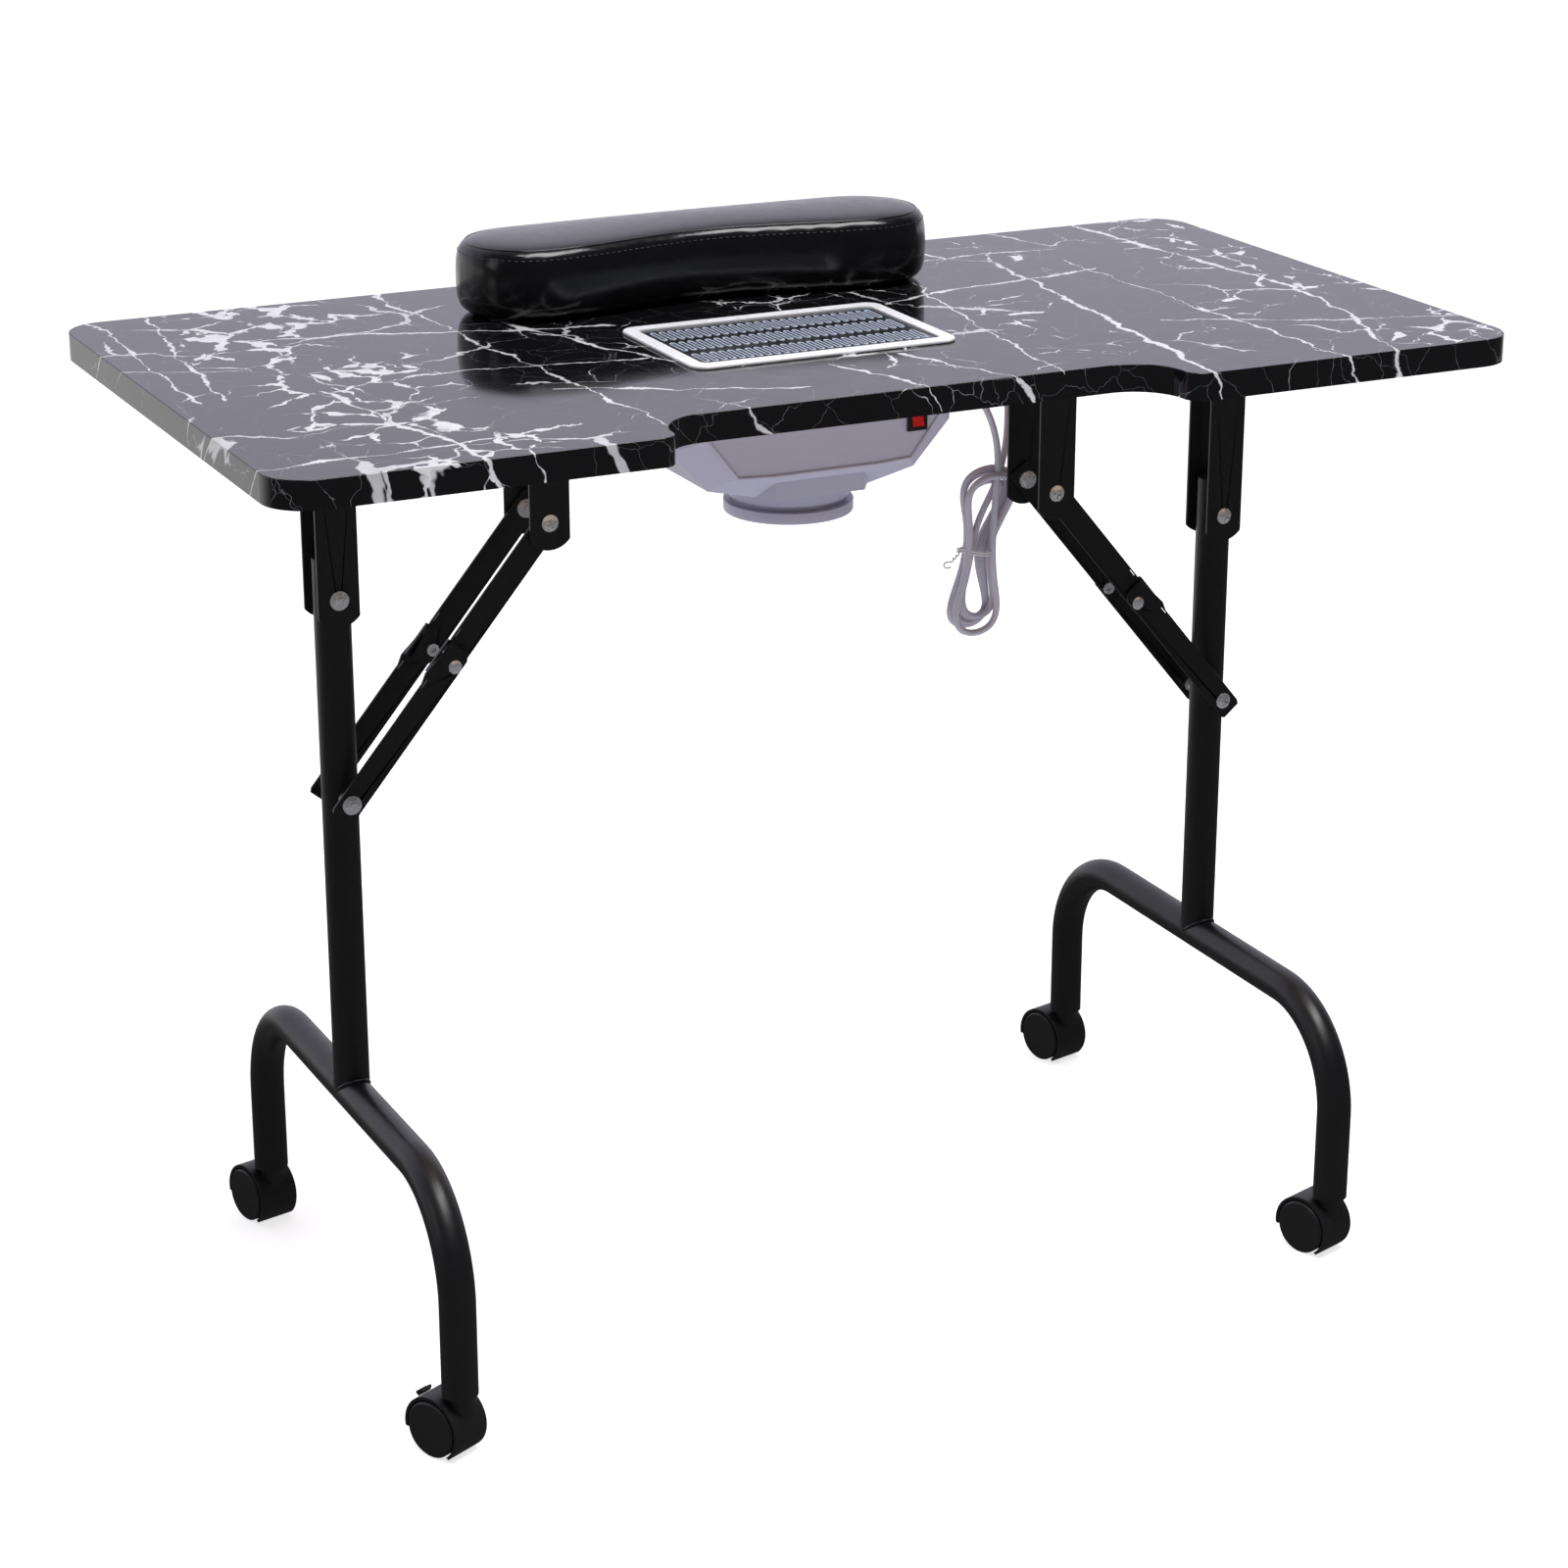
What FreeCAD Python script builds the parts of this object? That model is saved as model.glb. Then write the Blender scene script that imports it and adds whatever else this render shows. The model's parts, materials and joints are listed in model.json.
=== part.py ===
"""Folding manicure table: marble-look top with a built-in dust collector, a hand rest,
two braced legs that fold under the top, four hooded twin-wheel casters and a bundled cord.

Millimetres, +Z up, +X to the sitter's right as seen from the front, +Y away from the front.
The origin is on the floor under the middle of the top."""

import FreeCAD, Part
import math
import os

from FreeCAD import Vector as V

os.makedirs("parts", exist_ok=True)

# ---------------------------------------------------------------- driving dimensions
TOP_LENGTH = 900.0
TOP_WIDTH = 470.0
TOP_HEIGHT = 688.0
TOP_THICKNESS = 19.0
LAMINATE = 0.8
CORNER_R = 30.0
RECESS_DEPTH = 47.0
RECESS_HALF = 186.0
RECESS_INNER_R = 35.0
RECESS_OUTER_R = 12.0
UNDERSIDE = TOP_HEIGHT - TOP_THICKNESS

VENT_X = -6.5
VENT_Y = -17.0
FRAME_SIZE = (200.0, 131.0)
FRAME_BORDER = 10.0
FRAME_RISE = 2.5
CUTOUT_SIZE = (186.0, 117.0)
SLOTS_PER_ROW = 26
SLOT_PITCH = 6.62
SLOT_WIDTH = 2.8
SLOT_ROWS = ((-35.5, 23.0), (0.0, 24.0), (33.5, 23.0))

HOPPER_WALL = 2.2
HOPPER_BACK_Y = 37.0
HOPPER_FRONT_Y = 58.0
NECK_R = 42.5
DUCT_R = 38.0
COLLAR_R = 45.6
FAN_R = 35.5

LEG_Y = -17.0
LEG_X = 344.0
TUBE_R = 12.5
TUBE_WALL = 1.2
HINGE_DROP = {"left": 122.0, "right": 148.0}
BRACE_TOP = (148.0, 37.0)
BRACE_FOOT = -141.0
KNEE_OFFSET = 4.0
LINK_WIDTH = 18.2
PLATE = 2.5
PLATE_WIDTH = 29.0
HINGE_PLATE_Y = 12.8
UPPER_LINK_Y = 19.0
LOWER_LINK_Y = 21.8
PIVOT_R = 3.0
PIVOT_CLEARANCE = 0.06
GAP = 0.1

BASE_AXIS_Z = 186.0
BASE_HALF = 196.0
BASE_BEND_R = 75.0
BASE_BOTTOM_Z = 46.0

WHEEL_R = 20.0
CASTER_TRAIL = 14.0
CASTER_HALF_WIDTH = 16.5
BRAKE_TURN = 42.0
BRAKE_HUB_R = 1.5
BRAKE_REACH = 25.4
CASTER_TURN = {"front_left": -64.0, "front_right": -72.0, "rear_left": -76.0, "rear_right": -76.0}

REST_END_R = 50.0
REST_END_X = 131.0
REST_Y = 137.0
REST_HOLLOW = 19.0
REST_BACK = 53.0
REST_HEIGHT = 55.0

CORD_D = 5.0
HANK_Y = 31.0

X_AXIS = V(1, 0, 0)
Y_AXIS = V(0, 1, 0)
Z_AXIS = V(0, 0, 1)


# ---------------------------------------------------------------- small makers
def save(node, shape):
    """Write one node's STEP file and report what it holds."""
    if isinstance(shape, (list, tuple)):
        shape = Part.makeCompound(list(shape))
    for solid in shape.Solids:
        if not solid.isValid():
            print("invalid solid in", node)
    shape.exportStep("parts/" + node + ".step")
    print("%-26s solids %2d  volume %.0f" % (node, len(shape.Solids), shape.Volume))


def block(x0, x1, y0, y1, z0, z1):
    return Part.makeBox(x1 - x0, y1 - y0, z1 - z0, V(x0, y0, z0))


def rod(radius, start, end):
    along = end - start
    return Part.makeCylinder(radius, along.Length, start, along)


def pipe(outer, inner, start, end):
    return rod(outer, start, end).cut(rod(inner, start, end))


def arc(centre, radius, start_deg, end_deg):
    """Arc in the XY plane from one angle to another, either way round."""
    def at(angle):
        turn = math.radians(angle)
        return centre + V(radius * math.cos(turn), radius * math.sin(turn), 0)
    return Part.Arc(at(start_deg), at((start_deg + end_deg) / 2), at(end_deg)).toShape()


def closed_wire(arcs):
    """Join arcs, in order, with straight lines where their ends do not meet."""
    edges = []
    for index, edge in enumerate(arcs):
        edges.append(edge)
        here = edge.valueAt(edge.LastParameter)
        following = arcs[(index + 1) % len(arcs)]
        there = following.valueAt(following.FirstParameter)
        if (there - here).Length > 1e-6:
            edges.append(Part.LineSegment(here, there).toShape())
    return Part.Wire(edges)


def extrude(wire, direction):
    return Part.Face(wire).extrude(direction)


def round_rect(centre_x, centre_y, size_x, size_y, radius, z, height):
    half_x = size_x / 2 - radius
    half_y = size_y / 2 - radius
    corners = ((half_x, half_y, 0), (-half_x, half_y, 90), (-half_x, -half_y, 180), (half_x, -half_y, 270))
    arcs = [arc(V(centre_x + x, centre_y + y, z), radius, turn, turn + 90) for x, y, turn in corners]
    return extrude(closed_wire(arcs), V(0, 0, height))


def xz_prism(points, y0, y1):
    """Extrude an outline of (x, z) points along Y."""
    wire = Part.makePolygon([V(x, y0, z) for x, z in points] + [V(points[0][0], y0, points[0][1])])
    return extrude(wire, V(0, y1 - y0, 0))


def pan_head(base, out, radius=6.0, height=2.6):
    """Domed cross-recess screw head standing on base and pointing along out."""
    ball = (radius * radius + height * height) / (2 * height)
    centre = base + out * (height - ball)
    head = Part.makeSphere(ball, centre).common(rod(radius, base, base + out * height))
    turn = FreeCAD.Rotation(Z_AXIS, out)
    for angle in (0, 90):
        slot = Part.makeBox(radius * 1.1, 1.3, 1.6, V(-radius * 0.55, -0.65, height - 1.5))
        slot.rotate(V(0, 0, 0), Z_AXIS, angle + 20)
        slot.Placement = FreeCAD.Placement(base, turn).multiply(slot.Placement)
        head = head.cut(slot)
    return head


def flange_nut(base, out, bore):
    """Hex nut with a round flange."""
    flange = rod(6.6, base, base + out * 1.2)
    hexagon = Part.makePolygon([V(5.2 * math.cos(math.radians(a)), 5.2 * math.sin(math.radians(a)), 0)
                                for a in range(0, 361, 60)])
    body = extrude(hexagon, V(0, 0, 4.2))
    body = body.common(Part.makeCone(7.0, 4.6, 4.6, V(0, 0, 0), Z_AXIS))
    body.Placement = FreeCAD.Placement(base, FreeCAD.Rotation(Z_AXIS, out))
    return flange.fuse(body).cut(rod(bore, base - out, base + out * 6))


# ---------------------------------------------------------------- top
def top_outline(inset, z):
    """Plan of the top: rounded rectangle with a knee recess in the front edge."""
    half_x = TOP_LENGTH / 2
    half_y = TOP_WIDTH / 2
    corner = CORNER_R - inset
    outer = RECESS_OUTER_R - inset
    inner = RECESS_INNER_R + inset
    wing = RECESS_HALF + RECESS_OUTER_R
    floor_y = -half_y + RECESS_DEPTH - RECESS_INNER_R
    floor_x = RECESS_HALF - RECESS_INNER_R
    arcs = [
        arc(V(half_x - CORNER_R, half_y - CORNER_R, z), corner, 0, 90),
        arc(V(-half_x + CORNER_R, half_y - CORNER_R, z), corner, 90, 180),
        arc(V(-half_x + CORNER_R, -half_y + CORNER_R, z), corner, 180, 270),
        arc(V(-wing, -half_y + RECESS_OUTER_R, z), outer, 270, 360),
        arc(V(-floor_x, floor_y, z), inner, 180, 90),
        arc(V(floor_x, floor_y, z), inner, 90, 0),
        arc(V(wing, -half_y + RECESS_OUTER_R, z), outer, 180, 270),
        arc(V(half_x - CORNER_R, -half_y + CORNER_R, z), corner, 270, 360),
    ]
    return closed_wire(arcs)


def rim_edges(shape, z):
    """Edges of the outer boundary that lie at height z."""
    found = []
    for edge in shape.Edges:
        box = edge.BoundBox
        inside_cutout = abs(box.Center.x - VENT_X) < 100 and abs(box.Center.y - VENT_Y) < 62
        if abs(box.ZMin - z) < 1e-3 and abs(box.ZMax - z) < 1e-3 and not inside_cutout:
            found.append(edge)
    return found


def make_top():
    core_height = TOP_THICKNESS - LAMINATE
    cutout = round_rect(VENT_X, VENT_Y, *CUTOUT_SIZE, 8.0, UNDERSIDE - 1, TOP_THICKNESS + 2)
    core = extrude(top_outline(LAMINATE, UNDERSIDE), V(0, 0, core_height))
    save("tabletop_board", core.cut(cutout))
    full = extrude(top_outline(0, UNDERSIDE), V(0, 0, TOP_THICKNESS))
    full = full.makeFillet(LAMINATE * 0.9, rim_edges(full, TOP_HEIGHT))
    save("tabletop_laminate", full.cut(core).cut(cutout))


# ---------------------------------------------------------------- vent and dust collector
def make_vent():
    size_x, size_y = FRAME_SIZE
    inner_x = size_x - 2 * FRAME_BORDER
    inner_y = size_y - 2 * FRAME_BORDER
    frame = round_rect(VENT_X, VENT_Y, size_x, size_y, 12.0, TOP_HEIGHT, FRAME_RISE)
    top_rim = [e for e in frame.Edges if abs(e.BoundBox.ZMin - TOP_HEIGHT - FRAME_RISE) < 1e-3]
    frame = frame.makeFillet(1.4, top_rim)
    skirt_depth = 9.0
    skirt = round_rect(VENT_X, VENT_Y, CUTOUT_SIZE[0] - 1, CUTOUT_SIZE[1] - 1, 7.5,
                       TOP_HEIGHT - skirt_depth, skirt_depth)
    frame = frame.fuse(skirt)
    hole = round_rect(VENT_X, VENT_Y, inner_x, inner_y, 5.0, TOP_HEIGHT - 1.5, 10.0)
    ledge = round_rect(VENT_X, VENT_Y, inner_x - 5, inner_y - 5, 4.0, TOP_HEIGHT - 20, 30.0)
    save("vent_frame", frame.cut(hole).cut(ledge).removeSplitter())

    plate_z = TOP_HEIGHT - 1.4
    plate_height = 2.4
    plate = round_rect(VENT_X, VENT_Y, inner_x - 0.4, inner_y - 0.4, 4.8, plate_z, plate_height)
    slots = []
    first = -(SLOTS_PER_ROW - 1) * SLOT_PITCH / 2
    for row_y, row_length in SLOT_ROWS:
        for index in range(SLOTS_PER_ROW):
            x = VENT_X + first + index * SLOT_PITCH
            slots.append(round_rect(x, VENT_Y + row_y, SLOT_WIDTH, row_length, SLOT_WIDTH * 0.499,
                                    plate_z - 1, plate_height + 2))
    save("vent_grille", plate.cut(Part.makeCompound(slots)))
    filter_pad = round_rect(VENT_X, VENT_Y, CUTOUT_SIZE[0] - 3, CUTOUT_SIZE[1] - 3, 6.0, UNDERSIDE + 0.2, 8.0)
    save("dust_filter", filter_pad)


def hopper_body(wall):
    """Tapered hopper: a middle prism with bevelled panels in front and behind."""
    def down(points):
        return [(VENT_X + x, UNDERSIDE - d) for x, d in points]
    lift = 1.0 if wall else 0.0
    outer = [(-107 + wall, -lift), (-107 + wall, 42), (-79 + wall, 73 - wall), (-40, 82 - wall),
             (40, 82 - wall), (79 - wall, 73 - wall), (107 - wall, 42), (107 - wall, -lift)]
    panel = [(-88 + wall, -lift), (-88 + wall, 32), (-66 + wall, 60.5 - wall), (-40, 62 - wall),
             (40, 62 - wall), (66 - wall, 60.5 - wall), (88 - wall, 32), (88 - wall, -lift)]

    def wire(points, y):
        loop = [V(x, y, z) for x, z in down(points)]
        return Part.makePolygon(loop + loop[:1])
    back = HOPPER_BACK_Y
    front = HOPPER_FRONT_Y - wall
    middle = xz_prism(down(outer), VENT_Y - back, VENT_Y + back)
    near = Part.makeLoft([wire(outer, VENT_Y - back), wire(panel, VENT_Y - front)], True, True)
    far = Part.makeLoft([wire(outer, VENT_Y + back), wire(panel, VENT_Y + front)], True, True)
    return middle.fuse([near, far]).removeSplitter()


def fan_boss(wall):
    """Eight-sided boss round the fan, standing below the hopper."""
    near = 51.0 - wall
    points = []
    for x, y in ((34, -near), (54 - wall, -20), (54 - wall, 20), (34, near),
                 (-34, near), (-54 + wall, 20), (-54 + wall, -20), (-34, -near)):
        points.append(V(VENT_X + x, VENT_Y + y, UNDERSIDE - 81.5 + wall))
    boss = extrude(Part.makePolygon(points + points[:1]), V(0, 0, 26.0))
    return boss


def make_hopper():
    shell = hopper_body(0).fuse(fan_boss(0)).removeSplitter()
    inside = hopper_body(HOPPER_WALL).fuse(fan_boss(HOPPER_WALL))
    shell = shell.cut(inside)
    flange = block(VENT_X - 119, VENT_X + 119, VENT_Y - 70, VENT_Y + 70, UNDERSIDE - 2.5, UNDERSIDE)
    flange = flange.cut(block(VENT_X - 106, VENT_X + 106, VENT_Y - 40, VENT_Y + 40, UNDERSIDE - 9, UNDERSIDE + 9))
    flange = flange.cut(block(VENT_X - 87, VENT_X + 87, VENT_Y - 55, VENT_Y + 55, UNDERSIDE - 9, UNDERSIDE + 9))
    shell = shell.fuse(flange)
    centre = V(VENT_X, VENT_Y, 0)
    shell = shell.cut(rod(NECK_R - 1.0, centre + V(0, 0, UNDERSIDE - 90), centre + V(0, 0, UNDERSIDE - 70)))
    switch_hole = block(SWITCH[0] - 6.5, SWITCH[0] + 6.5, VENT_Y - HOPPER_FRONT_Y - 1,
                        VENT_Y - HOPPER_FRONT_Y + 5, SWITCH[1] - 9.5, SWITCH[1] + 9.5)
    shell = shell.cut(switch_hole)
    exit_x = VENT_X + 107
    gland_hole = rod(4.0, V(exit_x - 5, GLAND[0], GLAND[1]), V(exit_x + 5, GLAND[0], GLAND[1]))
    shell = shell.cut(gland_hole)
    screws = []
    for x in (-113, 113):
        for y in (-55, 55):
            at = V(VENT_X + x, VENT_Y + y, UNDERSIDE - 2.5)
            shell = shell.cut(rod(2.2, at - V(0, 0, 2), at + V(0, 0, 4)))
            screws.append(pan_head(at, V(0, 0, -1), 4.0, 2.2).fuse(rod(2.0, at, at + V(0, 0, 2.5))))
    save("dust_hopper", shell)
    save("hopper_screws", screws)


def make_collar():
    centre = V(VENT_X, VENT_Y, UNDERSIDE)
    spans = ((NECK_R, 79.5, 91.0), (NECK_R - 2.2, 91.0, 95.0), (COLLAR_R, 95.0, 103.0))
    seat = rod(NECK_R - 1.2, centre - V(0, 0, 76), centre - V(0, 0, 82))
    collar = rod(NECK_R, centre - V(0, 0, 81.6), centre - V(0, 0, 91)).fuse(seat)
    for radius, start, end in spans[1:]:
        collar = collar.fuse(rod(radius, centre - V(0, 0, start), centre - V(0, 0, end)))
    lower = [e for e in collar.Edges if abs(e.BoundBox.ZMax - UNDERSIDE + 103.0) < 1e-3]
    collar = collar.makeFillet(1.2, lower)
    collar = collar.cut(rod(DUCT_R, centre - V(0, 0, 60), centre - V(0, 0, 110)))
    save("outlet_collar", collar.removeSplitter())


def make_fan():
    centre = V(VENT_X, VENT_Y, UNDERSIDE)
    ring = pipe(DUCT_R - 0.2, DUCT_R - 1.8, centre - V(0, 0, 56), centre - V(0, 0, 84))
    for turn in (30, 150, 270):
        strut = block(VENT_X + 8, VENT_X + DUCT_R - 1, VENT_Y - 2, VENT_Y + 2, UNDERSIDE - 84, UNDERSIDE - 81)
        strut.rotate(centre, Z_AXIS, turn)
        ring = ring.fuse(strut)
    ring = ring.fuse(rod(14.0, centre - V(0, 0, 84), centre - V(0, 0, 79)))
    ring = ring.fuse(rod(2.4, centre - V(0, 0, 79), centre - V(0, 0, 62)))
    save("fan_frame", ring.removeSplitter())

    hub = rod(14.0, centre - V(0, 0, 78.4), centre - V(0, 0, 59))
    for index in range(7):
        blade = block(VENT_X + 12, VENT_X + FAN_R, VENT_Y - 0.9, VENT_Y + 0.9, UNDERSIDE - 76, UNDERSIDE - 60)
        blade.rotate(centre - V(0, 0, 68), X_AXIS, 38)
        blade.rotate(centre, Z_AXIS, index * 360 / 7)
        hub = hub.fuse(blade)
    limit = rod(FAN_R, centre - V(0, 0, 78.4), centre - V(0, 0, 58))
    hub = hub.common(limit).cut(rod(2.46, centre - V(0, 0, 80), centre - V(0, 0, 61)))
    save("fan_impeller", hub)


SWITCH = (VENT_X + 70.0, UNDERSIDE - 31.0)
GLAND = (VENT_Y + 27.0, UNDERSIDE - 26.0)


def make_switch():
    x, z = SWITCH
    face = VENT_Y - HOPPER_FRONT_Y
    bezel = block(x - 7.5, x + 7.5, face - 2.0, face, z - 10.5, z + 10.5)
    body = block(x - 6.4, x + 6.4, face, face + 12, z - 9.4, z + 9.4)
    well = block(x - 4.6, x + 4.6, face - 3, face + 9.0, z - 7.9, z + 7.9)
    save("switch_bezel", bezel.fuse(body).removeSplitter().cut(well))
    pivot = V(x, face + 3.0, z)
    outline = [(face + 3.5, z - 7.2), (face - 3.6, z - 7.2), (face - 1.7, z), (face - 0.7, z + 7.2),
               (face + 3.5, z + 7.2)]
    loop = [V(x - 4.2, y, zz) for y, zz in outline]
    rocker = extrude(Part.makePolygon(loop + loop[:1]), V(8.4, 0, 0))
    rocker = rocker.fuse(rod(1.6, pivot - V(4.2, 0, 0), pivot + V(4.2, 0, 0)))
    save("switch_rocker", rocker.removeSplitter())


# ---------------------------------------------------------------- hand rest
def rest_outline(z):
    """Kidney plan: two round ends, a nearly flat back and a hollow front."""
    x, y, end = REST_END_X, REST_Y, REST_END_R
    drop = end - REST_HOLLOW
    hollow_r = (x * x + drop * drop - end * end) / (2 * (end - drop))
    hollow_c = -drop - hollow_r
    tilt = math.degrees(math.atan2(-hollow_c, x))
    rise = REST_BACK
    back_r = (x * x + rise * rise - end * end) / (2 * (rise - end))
    back_c = rise - back_r
    lean = math.degrees(math.atan2(-back_c, x))
    centre = V(VENT_X, y, z)
    arcs = [
        arc(centre + V(0, back_c, 0), back_r, lean, 180 - lean),
        arc(centre + V(-x, 0, 0), end, 180 - lean, 360 - tilt),
        arc(centre + V(0, hollow_c, 0), hollow_r, 180 - tilt, tilt),
        arc(centre + V(x, 0, 0), end, 180 + tilt, 360 + lean),
    ]
    return closed_wire(arcs)


def make_hand_rest():
    body = extrude(rest_outline(TOP_HEIGHT), V(0, 0, REST_HEIGHT))
    rim = [e for e in body.Edges if abs(e.BoundBox.ZMin - TOP_HEIGHT - REST_HEIGHT) < 1e-3]
    save("hand_rest_cushion", body.makeFillet(3.0, rim))


# ---------------------------------------------------------------- legs and braces
def leg_place(shape, side):
    """Move a shape from leg coordinates (hinge at the origin, +X to the table's middle)."""
    hinge_z = UNDERSIDE - HINGE_DROP[side]
    if side == "right":
        shape = shape.mirror(V(0, 0, 0), X_AXIS)
        shape.translate(V(LEG_X, LEG_Y, hinge_z))
    else:
        shape = shape.copy()
        shape.translate(V(-LEG_X, LEG_Y, hinge_z))
    return shape


def save_leg(node, shape, side):
    if isinstance(shape, (list, tuple)):
        shape = Part.makeCompound(list(shape))
    save(side + "_" + node, leg_place(shape, side))


def across(shape):
    """The same piece on the rear of the leg."""
    return shape.mirror(V(0, 0, 0), Y_AXIS)


def u_bracket(x, pivot_z, inner_y, side):
    """Folded plate bracket: two ears hang from a web screwed to the underside."""
    top = HINGE_DROP[side]
    half = PLATE_WIDTH / 2
    corner, tip = pivot_z - 12.0, pivot_z - 19.0
    sweep = Part.Arc(V(x - half, 0, corner), V(x, 0, tip), V(x + half, 0, corner)).toShape()
    sides = [V(x + half, 0, corner), V(x + half, 0, top), V(x - half, 0, top), V(x - half, 0, corner)]
    lines = [Part.LineSegment(a, b).toShape() for a, b in zip(sides, sides[1:])]
    face = Part.Face(Part.Wire([sweep] + lines))
    ear = face.extrude(V(0, PLATE, 0))
    ear.translate(V(0, inner_y, 0))
    web_y = inner_y + PLATE
    web = block(x - half, x + half, -web_y, web_y, top - PLATE, top)
    foot = block(x - half, x + half, inner_y, inner_y + 24, top - PLATE, top)
    bracket = ear.fuse([across(ear), web, foot, across(foot)]).removeSplitter()
    hole_r = PIVOT_R + PIVOT_CLEARANCE
    bracket = bracket.cut(rod(hole_r, V(x, -40, pivot_z), V(x, 40, pivot_z)))
    for sign in (-1, 1):
        at = V(x, sign * (inner_y + 14), top)
        bracket = bracket.cut(rod(2.3, at - V(0, 0, 5), at + V(0, 0, 1)))
    return bracket


def bracket_screws(x, inner_y, side):
    screws = []
    for sign in (-1, 1):
        at = V(x, sign * (inner_y + 14), HINGE_DROP[side] - PLATE)
        screws.append(pan_head(at, V(0, 0, -1), 4.2, 2.0).fuse(rod(2.0, at, at + V(0, 0, 2.5))))
    return screws


def bolt(x, z, head_y, nut_y, tail):
    """Cross-head bolt along Y with its flange nut."""
    toward_head = V(0, 1 if head_y > 0 else -1, 0)
    head_at = V(x, head_y, z)
    end = V(x, nut_y, z) - toward_head * tail
    shank = rod(PIVOT_R, head_at, end)
    return pan_head(head_at, toward_head).fuse(shank), flange_nut(V(x, nut_y, z), -toward_head, PIVOT_R)


def link(start, end, y0, widen, slot_at):
    """Flat bar from one pivot to the knee; the knee rivet sits beside the bar's centre line."""
    along = (end - start).normalize()
    side = V(-along.z, 0, along.x)
    if side.z < 0:
        side = -side
    half = LINK_WIDTH / 2
    foot_end = start - along * 11.5
    knee_end = end + along * 12.5
    widen_from = end - along * 22.0
    widen_full = end - along * 15.0
    loop = [foot_end - side * (half - 1.5), foot_end + side * (half - 1.5), start - along * 8.5 + side * half,
            widen_from + side * half, widen_full + side * (half + widen), knee_end + side * (half + widen - 3),
            knee_end - side * (half - 3), end + along * 7.0 - side * half, start - along * 8.5 - side * half]
    face = Part.Face(Part.makePolygon(loop + loop[:1]))
    bar = face.extrude(V(0, PLATE, 0))
    bar.translate(V(0, y0, 0))
    hole_r = PIVOT_R + PIVOT_CLEARANCE
    bar = bar.cut(rod(hole_r, start - V(0, 5, 0), start + V(0, 40, 0)))
    rivet = end - side * KNEE_OFFSET
    bar = bar.cut(rod(hole_r, rivet - V(0, 5, 0), rivet + V(0, 40, 0)))
    slot_centre = end - along * slot_at + side * (half - 1.3)
    slot = block(-3.5, 3.5, -5, 40, -0.45, 0.45)
    slot.rotate(V(0, 0, 0), Y_AXIS, -math.degrees(math.atan2(along.z, along.x)))
    slot.translate(slot_centre)
    return bar.cut(slot), along, side


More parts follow.
